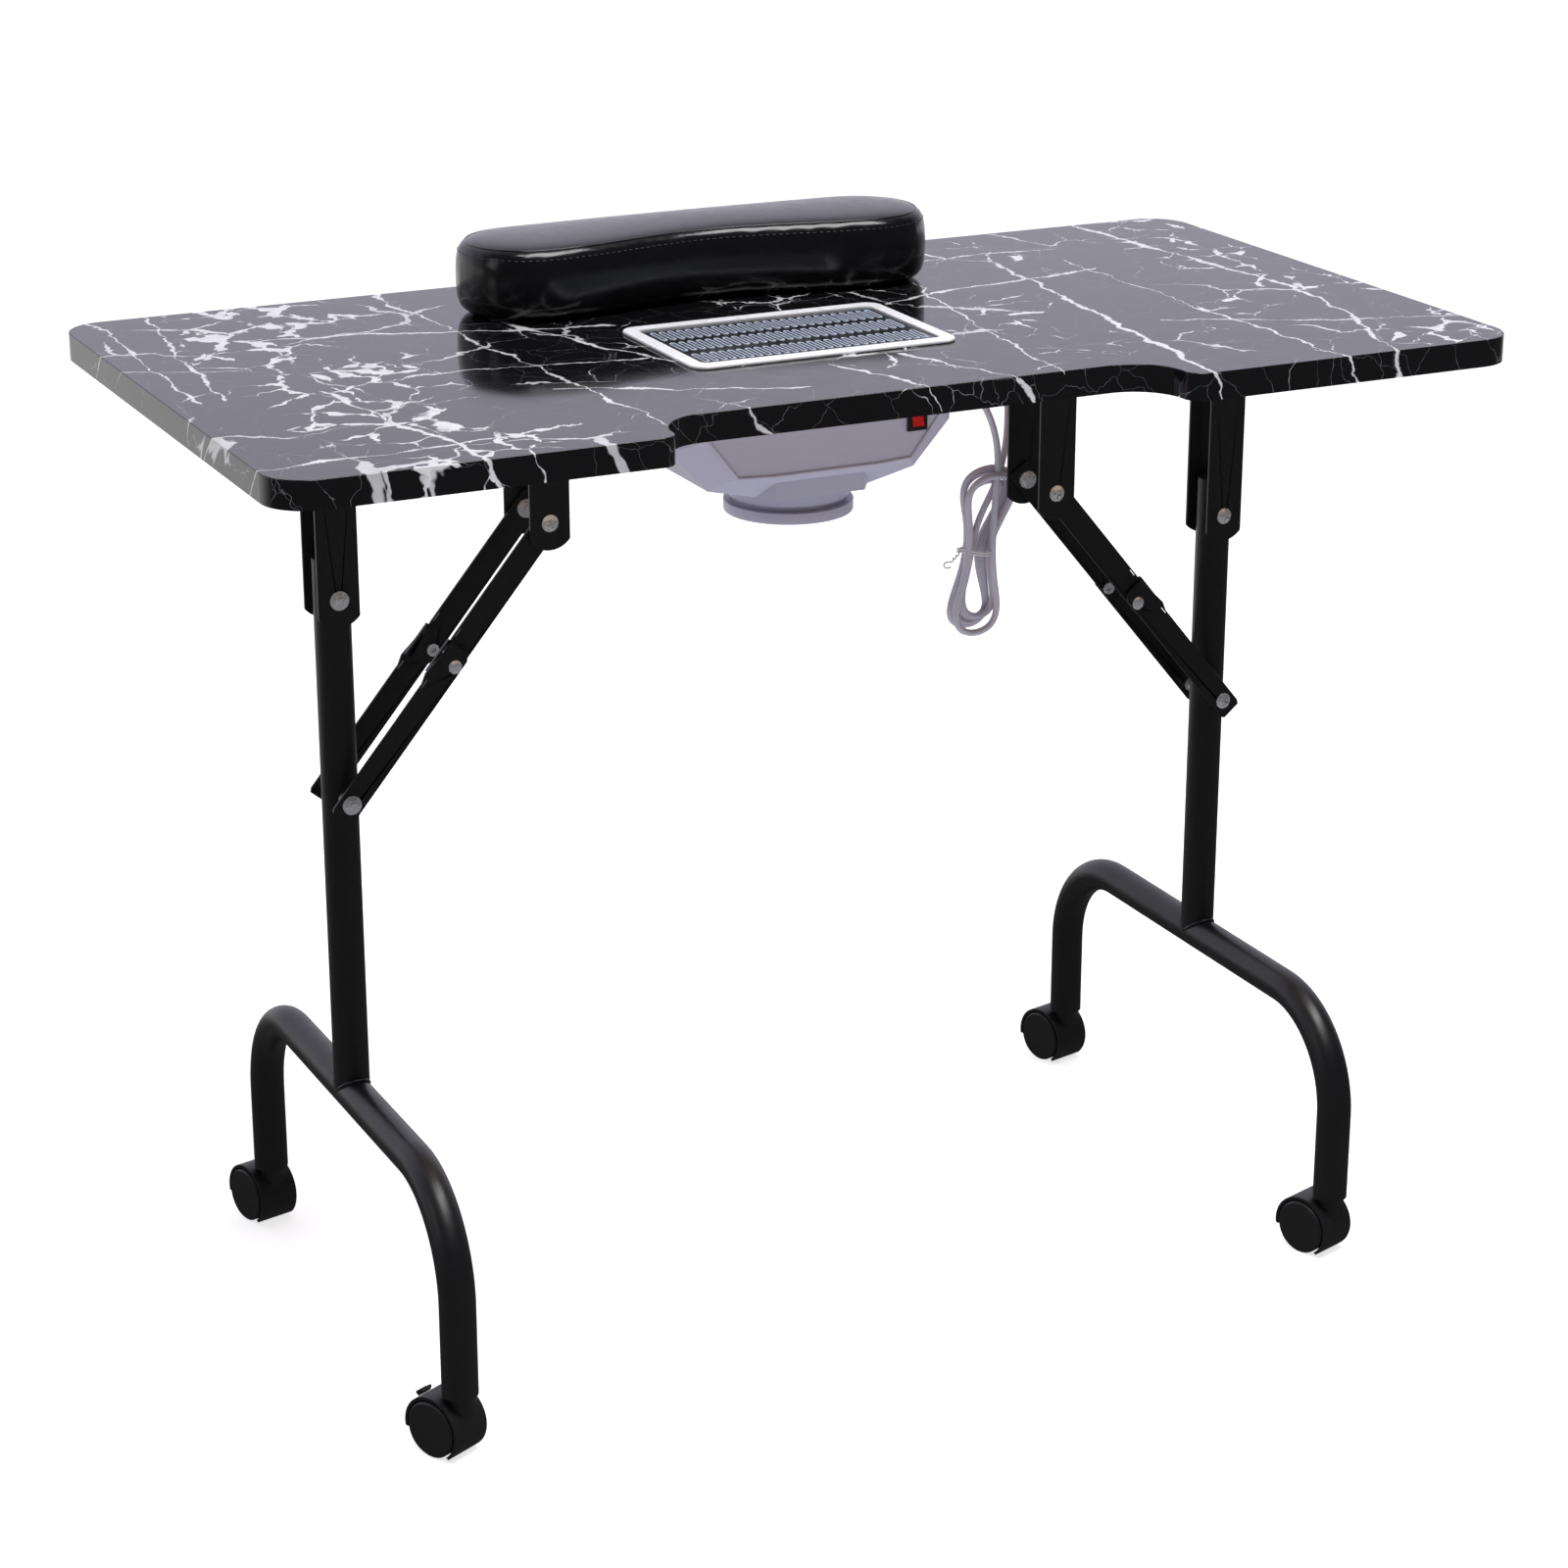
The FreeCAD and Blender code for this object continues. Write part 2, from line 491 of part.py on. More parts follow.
def make_leg(side):
    foot = V(0, 0, BRACE_FOOT)
    head = V(BRACE_TOP[0], 0, BRACE_TOP[1])
    middle = (foot + head) * 0.5
    hinge_z = UNDERSIDE - HINGE_DROP[side]
    bar_z = BASE_AXIS_Z - hinge_z
    inner = TUBE_R - TUBE_WALL
    hole_r = PIVOT_R + PIVOT_CLEARANCE
    head_sign = 1 if side == "left" else -1

    save_leg("hinge_bracket", u_bracket(0, 0, HINGE_PLATE_Y, side), side)
    save_leg("brace_bracket", u_bracket(head.x, head.z, LOWER_LINK_Y, side), side)
    hinge_out = HINGE_PLATE_Y + PLATE
    hinge_bolt, hinge_nut = bolt(0, 0, head_sign * hinge_out, -head_sign * hinge_out, 6.5)
    screws = bracket_screws(0, HINGE_PLATE_Y, side) + bracket_screws(head.x, LOWER_LINK_Y, side)
    brace_parts = []
    for sign in (-1, 1):
        plate_out = sign * (LOWER_LINK_Y + PLATE)
        screw, nut = bolt(head.x, head.z, plate_out, sign * (UPPER_LINK_Y - GAP), 5.2)
        brace_parts.append((screw, nut))
    for shape in [hinge_bolt] + [pair[0] for pair in brace_parts]:
        BOLTS.append(leg_place(shape, side))
    for shape in [hinge_nut] + [pair[1] for pair in brace_parts]:
        NUTS.append(leg_place(shape, side))
    for shape in screws:
        WOOD_SCREWS.append(leg_place(shape, side))

    post = pipe(TUBE_R, inner, V(0, 0, bar_z), V(0, 0, 25))
    post = post.cut(rod(TUBE_R + 0.05, V(0, -60, bar_z), V(0, 60, bar_z)))
    post = post.cut(rod(hole_r, V(0, -20, 0), V(0, 20, 0)))
    post = post.cut(rod(hole_r, foot - V(0, 20, 0), foot + V(0, 20, 0)))
    save_leg("post", max(post.Solids, key=lambda s: s.Volume), side)
    cap = rod(TUBE_R, V(0, 0, 25), V(0, 0, 26.5)).fuse(rod(inner - 0.05, V(0, 0, 17), V(0, 0, 25)))
    save_leg("post_cap", cap.removeSplitter(), side)

    bottom = BASE_BOTTOM_Z - hinge_z
    corner_y = BASE_HALF - BASE_BEND_R
    corner_z = bar_z - BASE_BEND_R
    tilt = math.cos(math.radians(45))
    bends = []
    for sign in (-1, 1):
        start = V(0, sign * BASE_HALF, corner_z)
        mid = V(0, sign * (corner_y + BASE_BEND_R * tilt), corner_z + BASE_BEND_R * tilt)
        bends.append(Part.Arc(start, mid, V(0, sign * corner_y, bar_z)).toShape())
    path = Part.Wire([
        Part.LineSegment(V(0, -BASE_HALF, bottom), V(0, -BASE_HALF, corner_z)).toShape(),
        bends[0],
        Part.LineSegment(V(0, -corner_y, bar_z), V(0, corner_y, bar_z)).toShape(),
        bends[1],
        Part.LineSegment(V(0, BASE_HALF, corner_z), V(0, BASE_HALF, bottom)).toShape(),
    ])
    outside = Part.Wire([Part.Circle(V(0, -BASE_HALF, bottom), Z_AXIS, TUBE_R).toShape()])
    inside = Part.Wire([Part.Circle(V(0, -BASE_HALF, bottom), Z_AXIS, inner).toShape()])
    arch = path.makePipeShell([outside], True, False).cut(path.makePipeShell([inside], True, False))
    save_leg("base_arch", arch, side)
    sockets = []
    for sign in (-1, 1):
        at = V(0, sign * BASE_HALF, bottom)
        sockets.append(pipe(inner - 0.05, 4.1, at, at + V(0, 0, 34)))
    save_leg("caster_sockets", sockets, side)

    outer = LOWER_LINK_Y + PLATE + GAP
    foot_bolt, foot_nut = bolt(0, BRACE_FOOT, head_sign * outer, -head_sign * outer, 6.5)
    save_leg("brace_bolt", [foot_bolt, foot_nut], side)
    spacers = []
    for sign in (-1, 1):
        spacers.append(pipe(5.5, PIVOT_R + 0.02, V(0, sign * (TUBE_R + GAP), BRACE_FOOT),
                            V(0, sign * (LOWER_LINK_Y - 0.2), BRACE_FOOT)))
    save_leg("brace_spacers", spacers, side)

    lower, along, up = link(foot, middle, LOWER_LINK_Y, 2.2, 21.0)
    save_leg("lower_links", [lower, across(lower)], side)
    upper, _, _ = link(head, middle, UPPER_LINK_Y, 0.0, 20.0)
    lip_start = middle - along * 13.5 + up * (LINK_WIDTH / 2)
    lip_end = middle + along * 13.0 + up * (LINK_WIDTH / 2)
    lip_loop = [lip_start, lip_end, lip_end + up * 1.7, lip_start + up * 1.7]
    lip = Part.Face(Part.makePolygon(lip_loop + lip_loop[:1])).extrude(V(0, LOWER_LINK_Y - UPPER_LINK_Y, 0))
    lip.translate(V(0, UPPER_LINK_Y - GAP, 0))
    upper = upper.fuse(lip).removeSplitter()
    save_leg("upper_links", [upper, across(upper)], side)

    # each knee rivet is split between the two link layers, because the knee is the open pivot
    knee = middle - up * KNEE_OFFSET
    heads, tails = [], []
    for sign in (-1, 1):
        out = V(0, sign, 0)
        face = knee + out * (LOWER_LINK_Y + PLATE)
        dome = Part.makeSphere(6.2, face - out * 3.9).common(rod(4.8, face, face + out * 3))
        heads.append(dome.fuse(rod(PIVOT_R, face - out * PLATE, face)).removeSplitter())
        back = knee + out * UPPER_LINK_Y
        tails.append(pipe(4.4, 2.0, back - out * 1.6, back).fuse(rod(PIVOT_R, back, back + out * PLATE)))
    save_leg("knee_rivet_heads", heads, side)
    save_leg("knee_rivet_tails", tails, side)


BOLTS, NUTS, WOOD_SCREWS = [], [], []


# ---------------------------------------------------------------- casters
def caster_place(shape, corner):
    """Move a shape from caster coordinates (swivel axis Z, axle along X, trail along +Y)."""
    shape = shape.copy()
    turn = CASTER_TURN[corner]
    shape.rotate(V(0, 0, 0), Z_AXIS, turn + 90)
    x = LEG_X if "right" in corner else -LEG_X
    y = LEG_Y + (BASE_HALF if "rear" in corner else -BASE_HALF)
    shape.translate(V(x, y, 0))
    return shape


def make_caster(corner):
    axle = V(0, CASTER_TRAIL, WHEEL_R)
    half = CASTER_HALF_WIDTH
    cover = half - 1.4
    web = 4.4

    def span(radius, x0, x1):
        return rod(radius, axle + V(x0, 0, 0), axle + V(x1, 0, 0))
    hood = span(WHEEL_R + 3.4, -cover, cover)
    for sign in (-1, 1):
        hood = hood.cut(span(WHEEL_R + 1.2, sign * web, sign * (cover + 1)))
    apex = axle + V(0, 0, -8.5)
    wedge_points = [apex, apex + V(0, -27, -16), apex + V(0, -27, -60), apex + V(0, 60, -60), apex + V(0, 60, 12)]
    wedge = Part.Face(Part.makePolygon(wedge_points + wedge_points[:1])).extrude(V(60, 0, 0))
    wedge.translate(V(-30, 0, 0))
    hood = hood.cut(wedge)
    hub = span(8.0, -web, web)
    boss = rod(8.0, V(0, 0, 30), V(0, 0, BASE_BOTTOM_Z - 0.6))
    for sign in (-1, 1):
        boss = boss.cut(span(WHEEL_R + 1.2, sign * web, sign * (cover + 1)))
    hood = hood.fuse([hub, boss]).removeSplitter()
    hood = hood.cut(span(2.56, -30, 30))
    stem = rod(4.0, V(0, 0, BASE_BOTTOM_Z - 0.6), V(0, 0, BASE_BOTTOM_Z + 30))
    hood = hood.fuse(stem)
    save("caster_" + corner + "_hood", caster_place(hood, corner))

    wheels = []
    for sign in (-1, 1):
        wheel = span(WHEEL_R, sign * (web + 0.5), sign * half)
        wheel = wheel.makeChamfer(1.2, [e for e in wheel.Edges if e.Length > 100 and
                                        abs(abs(e.BoundBox.Center.x) - half) < 0.1])
        wheels.append(wheel.cut(span(2.5, sign * web, sign * (half - 2.5))))
    wheels.append(span(2.5, -(half - 2.5), half - 2.5))
    save("caster_" + corner + "_wheels", caster_place(Part.makeCompound(wheels), corner))
    if corner == "front_left":
        make_brake(axle, corner)


def make_brake(axle, corner):
    """Small foot lever on a hub, on the trailing side of one caster's hood."""
    half = 4.6
    lever = rod(BRAKE_HUB_R, -X_AXIS * half, X_AXIS * half)
    lever = lever.fuse(block(-half, half, -0.9, 1.4, -3.2, 3.2))
    lever = lever.fuse(block(-half, half, 0.8, 2.6, -3.2, -1.4)).removeSplitter()
    lever.rotate(V(0, 0, 0), X_AXIS, BRAKE_TURN)
    turn = math.radians(BRAKE_TURN)
    lever.translate(axle + V(0, math.cos(turn), math.sin(turn)) * BRAKE_REACH)
    save("caster_" + corner + "_brake", caster_place(lever, corner))


# ---------------------------------------------------------------- cord
GLAND_X = VENT_X + 107.0
LEAD_ROUTE = [
    V(GLAND_X + 9.0, GLAND[0], GLAND[1]),
    V(124.0, GLAND[0] + 2, GLAND[1] + 0.5),
    V(149.0, GLAND[0] + 10, GLAND[1] - 9),
    V(171.0, HANK_Y - 7, GLAND[1] - 33),
    V(186.0, HANK_Y - 3, GLAND[1] - 66),
    V(187.0, HANK_Y - 4, GLAND[1] - 98),
    V(181.5, HANK_Y - 4, GLAND[1] - 124),
]
TAIL_ROUTE = [
    V(191.0, HANK_Y + 1, 540.0),
    V(195.0, HANK_Y + 3, 560.0),
    V(198.0, HANK_Y + 6, 582.0),
    V(201.0, HANK_Y + 11, 604.0),
    V(202.0, HANK_Y + 16, 624.0),
    V(205.0, HANK_Y + 20, 641.0),
    V(214.0, HANK_Y + 22, 654.0),
    V(231.0, HANK_Y + 22, 655.0),
    V(242.0, HANK_Y + 19, 644.0),
    V(245.0, HANK_Y + 16, 625.0),
    V(245.0, HANK_Y + 14, 607.0),
]
PLUG_BODY = (22.0, 13.0, 31.0)
PLUG_RELIEF = 9.0
PIN_LENGTH = 18.0


def rounded_path(points, name):
    """Straight runs joined by tangent arcs as large as the runs allow."""
    edges = []
    radii = []
    here = points[0]
    for before, corner, after in zip(points, points[1:], points[2:]):
        incoming = corner - before
        outgoing = after - corner
        shorter = min(incoming.Length, outgoing.Length)
        turn = incoming.getAngle(outgoing)
        set_back = 0.45 * shorter
        radius = set_back / math.tan(turn / 2)
        radii.append(radius)
        into = corner - incoming.normalize() * set_back
        out_of = corner + outgoing.normalize() * set_back
        bisector = (into + out_of) * 0.5 - corner
        middle = corner + bisector.normalize() * (radius / math.cos(turn / 2) - radius)
        edges.append(Part.LineSegment(here, into).toShape())
        edges.append(Part.Arc(into, middle, out_of).toShape())
        here = out_of
    edges.append(Part.LineSegment(here, points[-1]).toShape())
    length = sum(edge.Length for edge in edges)
    print(name, "length %.1f" % length, "radii", ["%.0f" % radius for radius in radii])
    return Part.Wire(edges), length


def cord_tube(points, name):
    path, length = rounded_path(points, name)
    start = points[0]
    direction = (points[1] - points[0]).normalize()
    section = Part.Wire([Part.Circle(start, direction, CORD_D / 2).toShape()])
    tube = path.makePipeShell([section], True, False)
    expected = math.pi * (CORD_D / 2) ** 2 * length
    print(name, "volume / expected %.4f" % (tube.Volume / expected))
    return tube


def make_cord():
    at = V(GLAND_X - 4, GLAND[0], GLAND[1])
    out = X_AXIS
    gland = rod(3.9, at, at + out * 4).fuse(rod(6.0, at + out * 4, at + out * 6))
    gland = gland.fuse(Part.makeCone(4.6, 3.6, 7.0, at + out * 6, out))
    save("cord_gland", gland.removeSplitter())
    save("cord_lead", cord_tube(LEAD_ROUTE, "cord_lead"))

    save("cord_tail", cord_tube(TAIL_ROUTE, "cord_tail"))

    # outer shape of the hank: two lobes of folded turns pinched by the tie
    sections = []
    levels = ((436.0, 167.0, 9.0, 7.0), (446.0, 167.0, 16.0, 13.0), (470.0, 167.0, 19.0, 15.0),
              (494.0, 170.0, 13.5, 11.0), (504.0, 171.0, 12.5, 9.5), (518.0, 173.0, 15.0, 11.0),
              (540.0, 181.0, 22.0, 14.0), (553.0, 183.0, 22.0, 14.0), (561.0, 183.0, 16.0, 11.0),
              (566.0, 183.0, 8.0, 7.0))
    for z, x, half_x, half_y in levels:
        centre = V(x, HANK_Y, z)
        ellipse = Part.Ellipse(centre + X_AXIS * half_x, centre + Y_AXIS * half_y, centre)
        sections.append(Part.Wire([ellipse.toShape()]))
    save("cord_hank", Part.makeLoft(sections, True, False))
    waist_z, waist_x, waist_half_x, waist_half_y = levels[4]
    make_tie(V(waist_x, HANK_Y, waist_z), waist_half_x, waist_half_y)
    make_plug(TAIL_ROUTE[-1])
    make_clip((TAIL_ROUTE[6] + TAIL_ROUTE[7]) * 0.5)


def make_tie(centre, half_x, half_y):
    """Twist tie: a flat-sided band round the waist of the hank with a twisted tail."""
    low = centre - Z_AXIS * 0.9
    rings = []
    for spare in (2.3, 0.8):
        loop = []
        for i in range(24):
            angle = 2 * math.pi * i / 24
            loop.append(low + V((half_x + spare) * math.cos(angle), (half_y + spare) * math.sin(angle), 0))
        rings.append(Part.Face(Part.makePolygon(loop + loop[:1])).extrude(Z_AXIS * 1.8))
    knot = centre - X_AXIS * (half_x + 1.6)
    tail = block(-9.0, 0.5, -0.9, 0.9, -0.9, 0.9)
    tail.rotate(V(0, 0, 0), Y_AXIS, -35)
    tail.translate(knot)
    save("hank_tie", rings[0].fuse(tail).cut(rings[1]))


def make_plug(top):
    """Moulded two-pin plug hanging from the end of the cord."""
    width, depth, height = PLUG_BODY
    shoulder = top - Z_AXIS * PLUG_RELIEF
    bottom = shoulder - Z_AXIS * height
    body = round_rect(top.x, top.y, width, depth, 4.0, bottom.z, height)
    body = body.makeFillet(1.5, [e for e in body.Edges if abs(e.BoundBox.ZMin - shoulder.z) < 1e-3])
    body = body.fuse(Part.makeCone(4.4, 3.2, PLUG_RELIEF, shoulder, Z_AXIS))
    save("plug_body", body.removeSplitter())
    pins = []
    for sign in (-1, 1):
        x = top.x + sign * 6.35
        pins.append(block(x - 0.75, x + 0.75, top.y - 3.1, top.y + 3.1, bottom.z - PIN_LENGTH, bottom.z))
    save("plug_pins", pins)


def make_clip(centre):
    """P-shaped cable clip that holds the top of the cord's bend to the underside."""
    half = 2.6
    ring = pipe(4.3, 2.7, centre - X_AXIS * half, centre + X_AXIS * half)
    tab = block(centre.x - half, centre.x + half, centre.y - 0.8, centre.y + 0.8, centre.z + 3.2, UNDERSIDE)
    foot = block(centre.x - half * 1.4, centre.x + half * 1.4, centre.y - 0.8, centre.y + 12.0,
                 UNDERSIDE - 1.4, UNDERSIDE)
    screw = pan_head(V(centre.x, centre.y + 7.0, UNDERSIDE - 1.4), -Z_AXIS, 3.2, 1.6)
    save("cable_clip", ring.fuse([tab, foot, screw]).removeSplitter())


def main():
    make_top()
    make_vent()
    make_hopper()
    make_collar()
    make_fan()
    make_switch()
    make_hand_rest()
    for side in ("left", "right"):
        make_leg(side)
    save("pivot_bolts", BOLTS)
    save("pivot_nuts", NUTS)
    save("bracket_screws", WOOD_SCREWS)
    for corner in CASTER_TURN:
        make_caster(corner)
    make_cord()


main()
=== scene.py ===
import json
import math

import bmesh
import bpy
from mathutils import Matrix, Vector
from mathutils.bvhtree import BVHTree


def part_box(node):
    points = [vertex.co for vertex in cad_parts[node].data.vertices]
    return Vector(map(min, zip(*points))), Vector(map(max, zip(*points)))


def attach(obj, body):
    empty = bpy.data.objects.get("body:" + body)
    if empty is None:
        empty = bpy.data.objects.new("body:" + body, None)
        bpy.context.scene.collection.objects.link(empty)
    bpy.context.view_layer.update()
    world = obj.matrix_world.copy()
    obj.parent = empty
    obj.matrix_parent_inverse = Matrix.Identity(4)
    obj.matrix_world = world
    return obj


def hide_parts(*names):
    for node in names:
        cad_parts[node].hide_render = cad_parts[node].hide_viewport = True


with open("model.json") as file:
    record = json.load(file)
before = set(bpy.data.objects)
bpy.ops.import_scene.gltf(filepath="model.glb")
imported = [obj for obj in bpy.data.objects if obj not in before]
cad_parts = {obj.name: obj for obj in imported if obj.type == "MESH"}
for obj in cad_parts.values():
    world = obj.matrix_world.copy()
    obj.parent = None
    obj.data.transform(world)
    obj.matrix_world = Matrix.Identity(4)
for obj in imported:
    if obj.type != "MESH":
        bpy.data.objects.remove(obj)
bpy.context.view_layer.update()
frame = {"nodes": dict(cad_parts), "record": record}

# ---------------------------------------------------------------- driving values, metres
TOP_Z = 0.688
VENT_X, VENT_Y = -0.0065, -0.017
LEG_X, LEG_Y = 0.344, -0.017
TUBE_R = 0.0125
BASE_AXIS_Z = 0.186
SLOTS_PER_ROW = 26
SLOT_PITCH = 0.00662
SLOT_WIDTH = 0.0028
SLOT_ROWS = ((-0.0355, 0.023), (0.0, 0.024), (0.0335, 0.023))
REST_X, REST_Y = -0.0065, 0.137
REST_END_X, REST_END_R = 0.131, 0.050
REST_HOLLOW, REST_BACK = 0.019, 0.053
REST_SEAM = 0.051                       # height of the seam above the top
STITCH_DROP = 0.0058                    # from the seam down to the stitches
STITCH_PITCH, STITCH_HALF = 0.0050, 0.0017
STITCH_SHAPE = ((-1.0, 0.00015), (-0.6, 0.00042), (0.0, 0.00050), (0.6, 0.00042), (1.0, 0.00015))
WELT_R = 0.0010
RIM_HIGHLIGHT_R, RIM_HIGHLIGHT_CLEAR = 0.00055, 0.0002      # tube radius of the pale ring painted as a highlight on a grille slot's rim, and how far out it sits
HOPPER_BEAD_R = 0.0013
WELD_R = 0.0016
TIE_X, TIE_Y, TIE_R = 0.0142, 0.0112, 0.0007
RELIEF_LENGTH = 0.030
RELIEF_R, RELIEF_TAPER, RELIEF_RIB = 0.0048, 0.0017, 0.00035
CORD_D = 0.005
HANK_Y = 0.031
HANK_WAIST = Vector((0.170, HANK_Y, 0.502))


# ---------------------------------------------------------------- camera
CAMERA_AT = (-1.1208, -2.3122, 1.2742)
CAMERA_LOOKS = (0.4102, 0.8474, -0.3371)
CAMERA_LENS = 86.65                     # mm, on a sensor 36 mm wide


def make_camera():
    data = bpy.data.cameras.new("camera")
    data.lens = CAMERA_LENS
    data.sensor_width = 36.0
    data.clip_end = 30.0
    camera = bpy.data.objects.new("camera", data)
    bpy.context.scene.collection.objects.link(camera)
    camera.location = CAMERA_AT
    camera.rotation_euler = Vector(CAMERA_LOOKS).to_track_quat("-Z", "Y").to_euler()
    bpy.context.scene.camera = camera


make_camera()


# ---------------------------------------------------------------- object helpers
def link_object(name, data):
    obj = bpy.data.objects.new(name, data)
    bpy.context.scene.collection.objects.link(obj)
    return obj


def mesh_object(name, bm):
    bmesh.ops.recalc_face_normals(bm, faces=bm.faces)
    data = bpy.data.meshes.new(name)
    bm.to_mesh(data)
    bm.free()
    for polygon in data.polygons:
        polygon.use_smooth = True
    return link_object(name, data)


def dress(obj, body, material):
    """Give a new piece its body and material."""
    obj.data.materials.clear()
    obj.data.materials.append(material)
    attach(obj, body)
    return obj


def spline_curve(name, points, radius):
    """Round open tube on a NURBS line that passes near the points."""
    data = bpy.data.curves.new(name, "CURVE")
    data.dimensions = "3D"
    data.bevel_depth = radius
    data.bevel_resolution = 5
    data.resolution_u = 8
    data.use_fill_caps = True
    spline = data.splines.new("NURBS")
    spline.points.add(len(points) - 1)
    for target, point in zip(spline.points, points):
        target.co = (*point, 1.0)
    spline.order_u = 4
    spline.use_endpoint_u = True
    return link_object(name, data)


def sweep_ring(bm, centre, u, v, radius_u, radius_v, count):
    return [bm.verts.new(centre + u * math.cos(t) * radius_u + v * math.sin(t) * radius_v)
            for t in (2 * math.pi * i / count for i in range(count))]


def bridge(bm, lower, upper):
    count = len(lower)
    for i in range(count):
        j = (i + 1) % count
        bm.faces.new((lower[i], lower[j], upper[j], upper[i]))


def closed_tube(bm, path, radius, sides=8):
    """Tube round a closed path of points, in mesh form."""
    rings = []
    count = len(path)
    for i in range(count):
        tangent = (path[(i + 1) % count] - path[i - 1]).normalized()
        side = tangent.cross(Vector((0, 0, 1)))
        if side.length < 1e-4:
            side = tangent.cross(Vector((0, 1, 0)))
        side.normalize()
        up = side.cross(tangent)
        rings.append(sweep_ring(bm, path[i], side, up, radius, radius, sides))
    for i in range(count):
        bridge(bm, rings[i - 1], rings[i])


# ---------------------------------------------------------------- shader helpers
class Graph:
    """Short-hand for building a node material."""

    def __init__(self, name):
        self.material = bpy.data.materials.new(name)
        self.material.use_nodes = True
        self.tree = self.material.node_tree
        self.shader = self.tree.nodes["Principled BSDF"]

    def node(self, kind, **settings):
        made = self.tree.nodes.new(kind)
        for key, value in settings.items():
            setattr(made, key, value)
        return made

    def put(self, value, socket):
        if isinstance(value, bpy.types.NodeSocket):
            self.tree.links.new(value, socket)
        else:
            socket.default_value = value

    def math(self, operation, a, b=0.0):
        made = self.node("ShaderNodeMath", operation=operation)
        self.put(a, made.inputs[0])
        self.put(b, made.inputs[1])
        return made.outputs[0]

    def vector(self, operation, a, b):
        made = self.node("ShaderNodeVectorMath", operation=operation)
        self.put(a, made.inputs[0])
        self.put(b, made.inputs[1])
        return made.outputs["Vector"]

    def place(self):
        return self.node("ShaderNodeTexCoord").outputs["Object"]

    def noise(self, place, scale, detail, rough=0.5, colour=False):
        made = self.node("ShaderNodeTexNoise")
        self.put(place, made.inputs["Vector"])
        made.inputs["Scale"].default_value = scale
        made.inputs["Detail"].default_value = detail
        made.inputs["Roughness"].default_value = rough
        return made.outputs["Color" if colour else "Fac"]

    def cells(self, place, scale, feature="DISTANCE_TO_EDGE"):
        made = self.node("ShaderNodeTexVoronoi", feature=feature)
        self.put(place, made.inputs["Vector"])
        made.inputs["Scale"].default_value = scale
        return made.outputs["Distance"]

    def span(self, value, low, high, to_low, to_high):
        made = self.node("ShaderNodeMapRange", clamp=True)
        made.interpolation_type = "SMOOTHSTEP"
        self.put(value, made.inputs["Value"])
        self.put(low, made.inputs["From Min"])
        self.put(high, made.inputs["From Max"])
        made.inputs["To Min"].default_value = to_low
        made.inputs["To Max"].default_value = to_high
        return made.outputs["Result"]

    def mix(self, factor, a, b):
        made = self.node("ShaderNodeMix", data_type="RGBA")
        self.put(factor, made.inputs["Factor"])
        self.put((*a, 1.0) if isinstance(a, tuple) else a, made.inputs["A"])
        self.put((*b, 1.0) if isinstance(b, tuple) else b, made.inputs["B"])
        return made.outputs["Result"]

    def bump(self, height, strength, distance):
        made = self.node("ShaderNodeBump")
        made.inputs["Strength"].default_value = strength
        made.inputs["Distance"].default_value = distance
        self.put(height, made.inputs["Height"])
        self.put(made.outputs["Normal"], self.shader.inputs["Normal"])

    def set(self, **values):
        for key, value in values.items():
            self.put((*value, 1.0) if isinstance(value, tuple) and len(value) == 3 else value,
                     self.shader.inputs[key.replace("_", " ")])


def fine_finish(name, colour, roughness, grain=900.0, bump=0.15, depth=0.00005, metallic=0.0, spread=0.04,
                vary=0.12):
    """Moulded or coated surface: tiny orange-peel grain, slight tone drift and uneven gloss."""
    g = Graph(name)
    place = g.place()
    drift = g.noise(place, 14.0, 4.0)
    dark = tuple(c * (1 - vary) for c in colour)
    light = tuple(min(1.0, c * (1 + vary)) for c in colour)
    g.set(Base_Color=g.mix(drift, dark, light), Metallic=metallic)
    g.set(Roughness=g.span(g.noise(place, 60.0, 3.0), 0.3, 0.7, roughness - spread, roughness + spread))
    g.bump(g.noise(place, grain, 2.0), bump, depth)
    return g.material


# ---------------------------------------------------------------- marble print
# Long veins of the print, in metres to the nearest centimetre. Each has its half width, the way it runs ("deep"
# is front to back, "wide" is left to right), its place across that way, its lean, its start and its end.
VEINS = (
    (0.0013, "deep", -0.20, -0.02, -0.25, 0.25), (0.0018, "deep", -0.33, -0.02, -0.25, -0.03),
    (0.0012, "deep", -0.40, 0.01, -0.02, 0.25), (0.0010, "deep", -0.43, 0.00, -0.02, 0.25),
    (0.0020, "deep", -0.14, -0.03, -0.05, 0.12), (0.0016, "deep", 0.00, -0.02, -0.20, -0.10),
    (0.0018, "deep", 0.06, -0.02, -0.20, -0.10), (0.0010, "deep", 0.13, 0.02, -0.19, 0.10),
    (0.0018, "deep", 0.22, 0.02, -0.25, 0.14), (0.0012, "deep", 0.30, -0.01, -0.25, 0.12),
    (0.0014, "deep", 0.37, 0.03, -0.25, -0.03), (0.0020, "deep", 0.38, -0.02, -0.03, 0.25),
    (0.0020, "wide", 0.10, -0.03, -0.34, -0.10), (0.0014, "wide", -0.19, 0.01, -0.47, -0.23),
    (0.0010, "wide", -0.02, -0.01, -0.30, -0.12), (0.0017, "wide", -0.12, -0.03, -0.21, -0.06),
    (0.0010, "wide", -0.13, -0.04, 0.25, 0.47), (0.0016, "wide", 0.07, 0.02, 0.10, 0.30),
    (0.0010, "wide", 0.17, -0.01, 0.10, 0.30),
)
PLAN_X = 0.47                           # half span that the shatter curve is drawn over
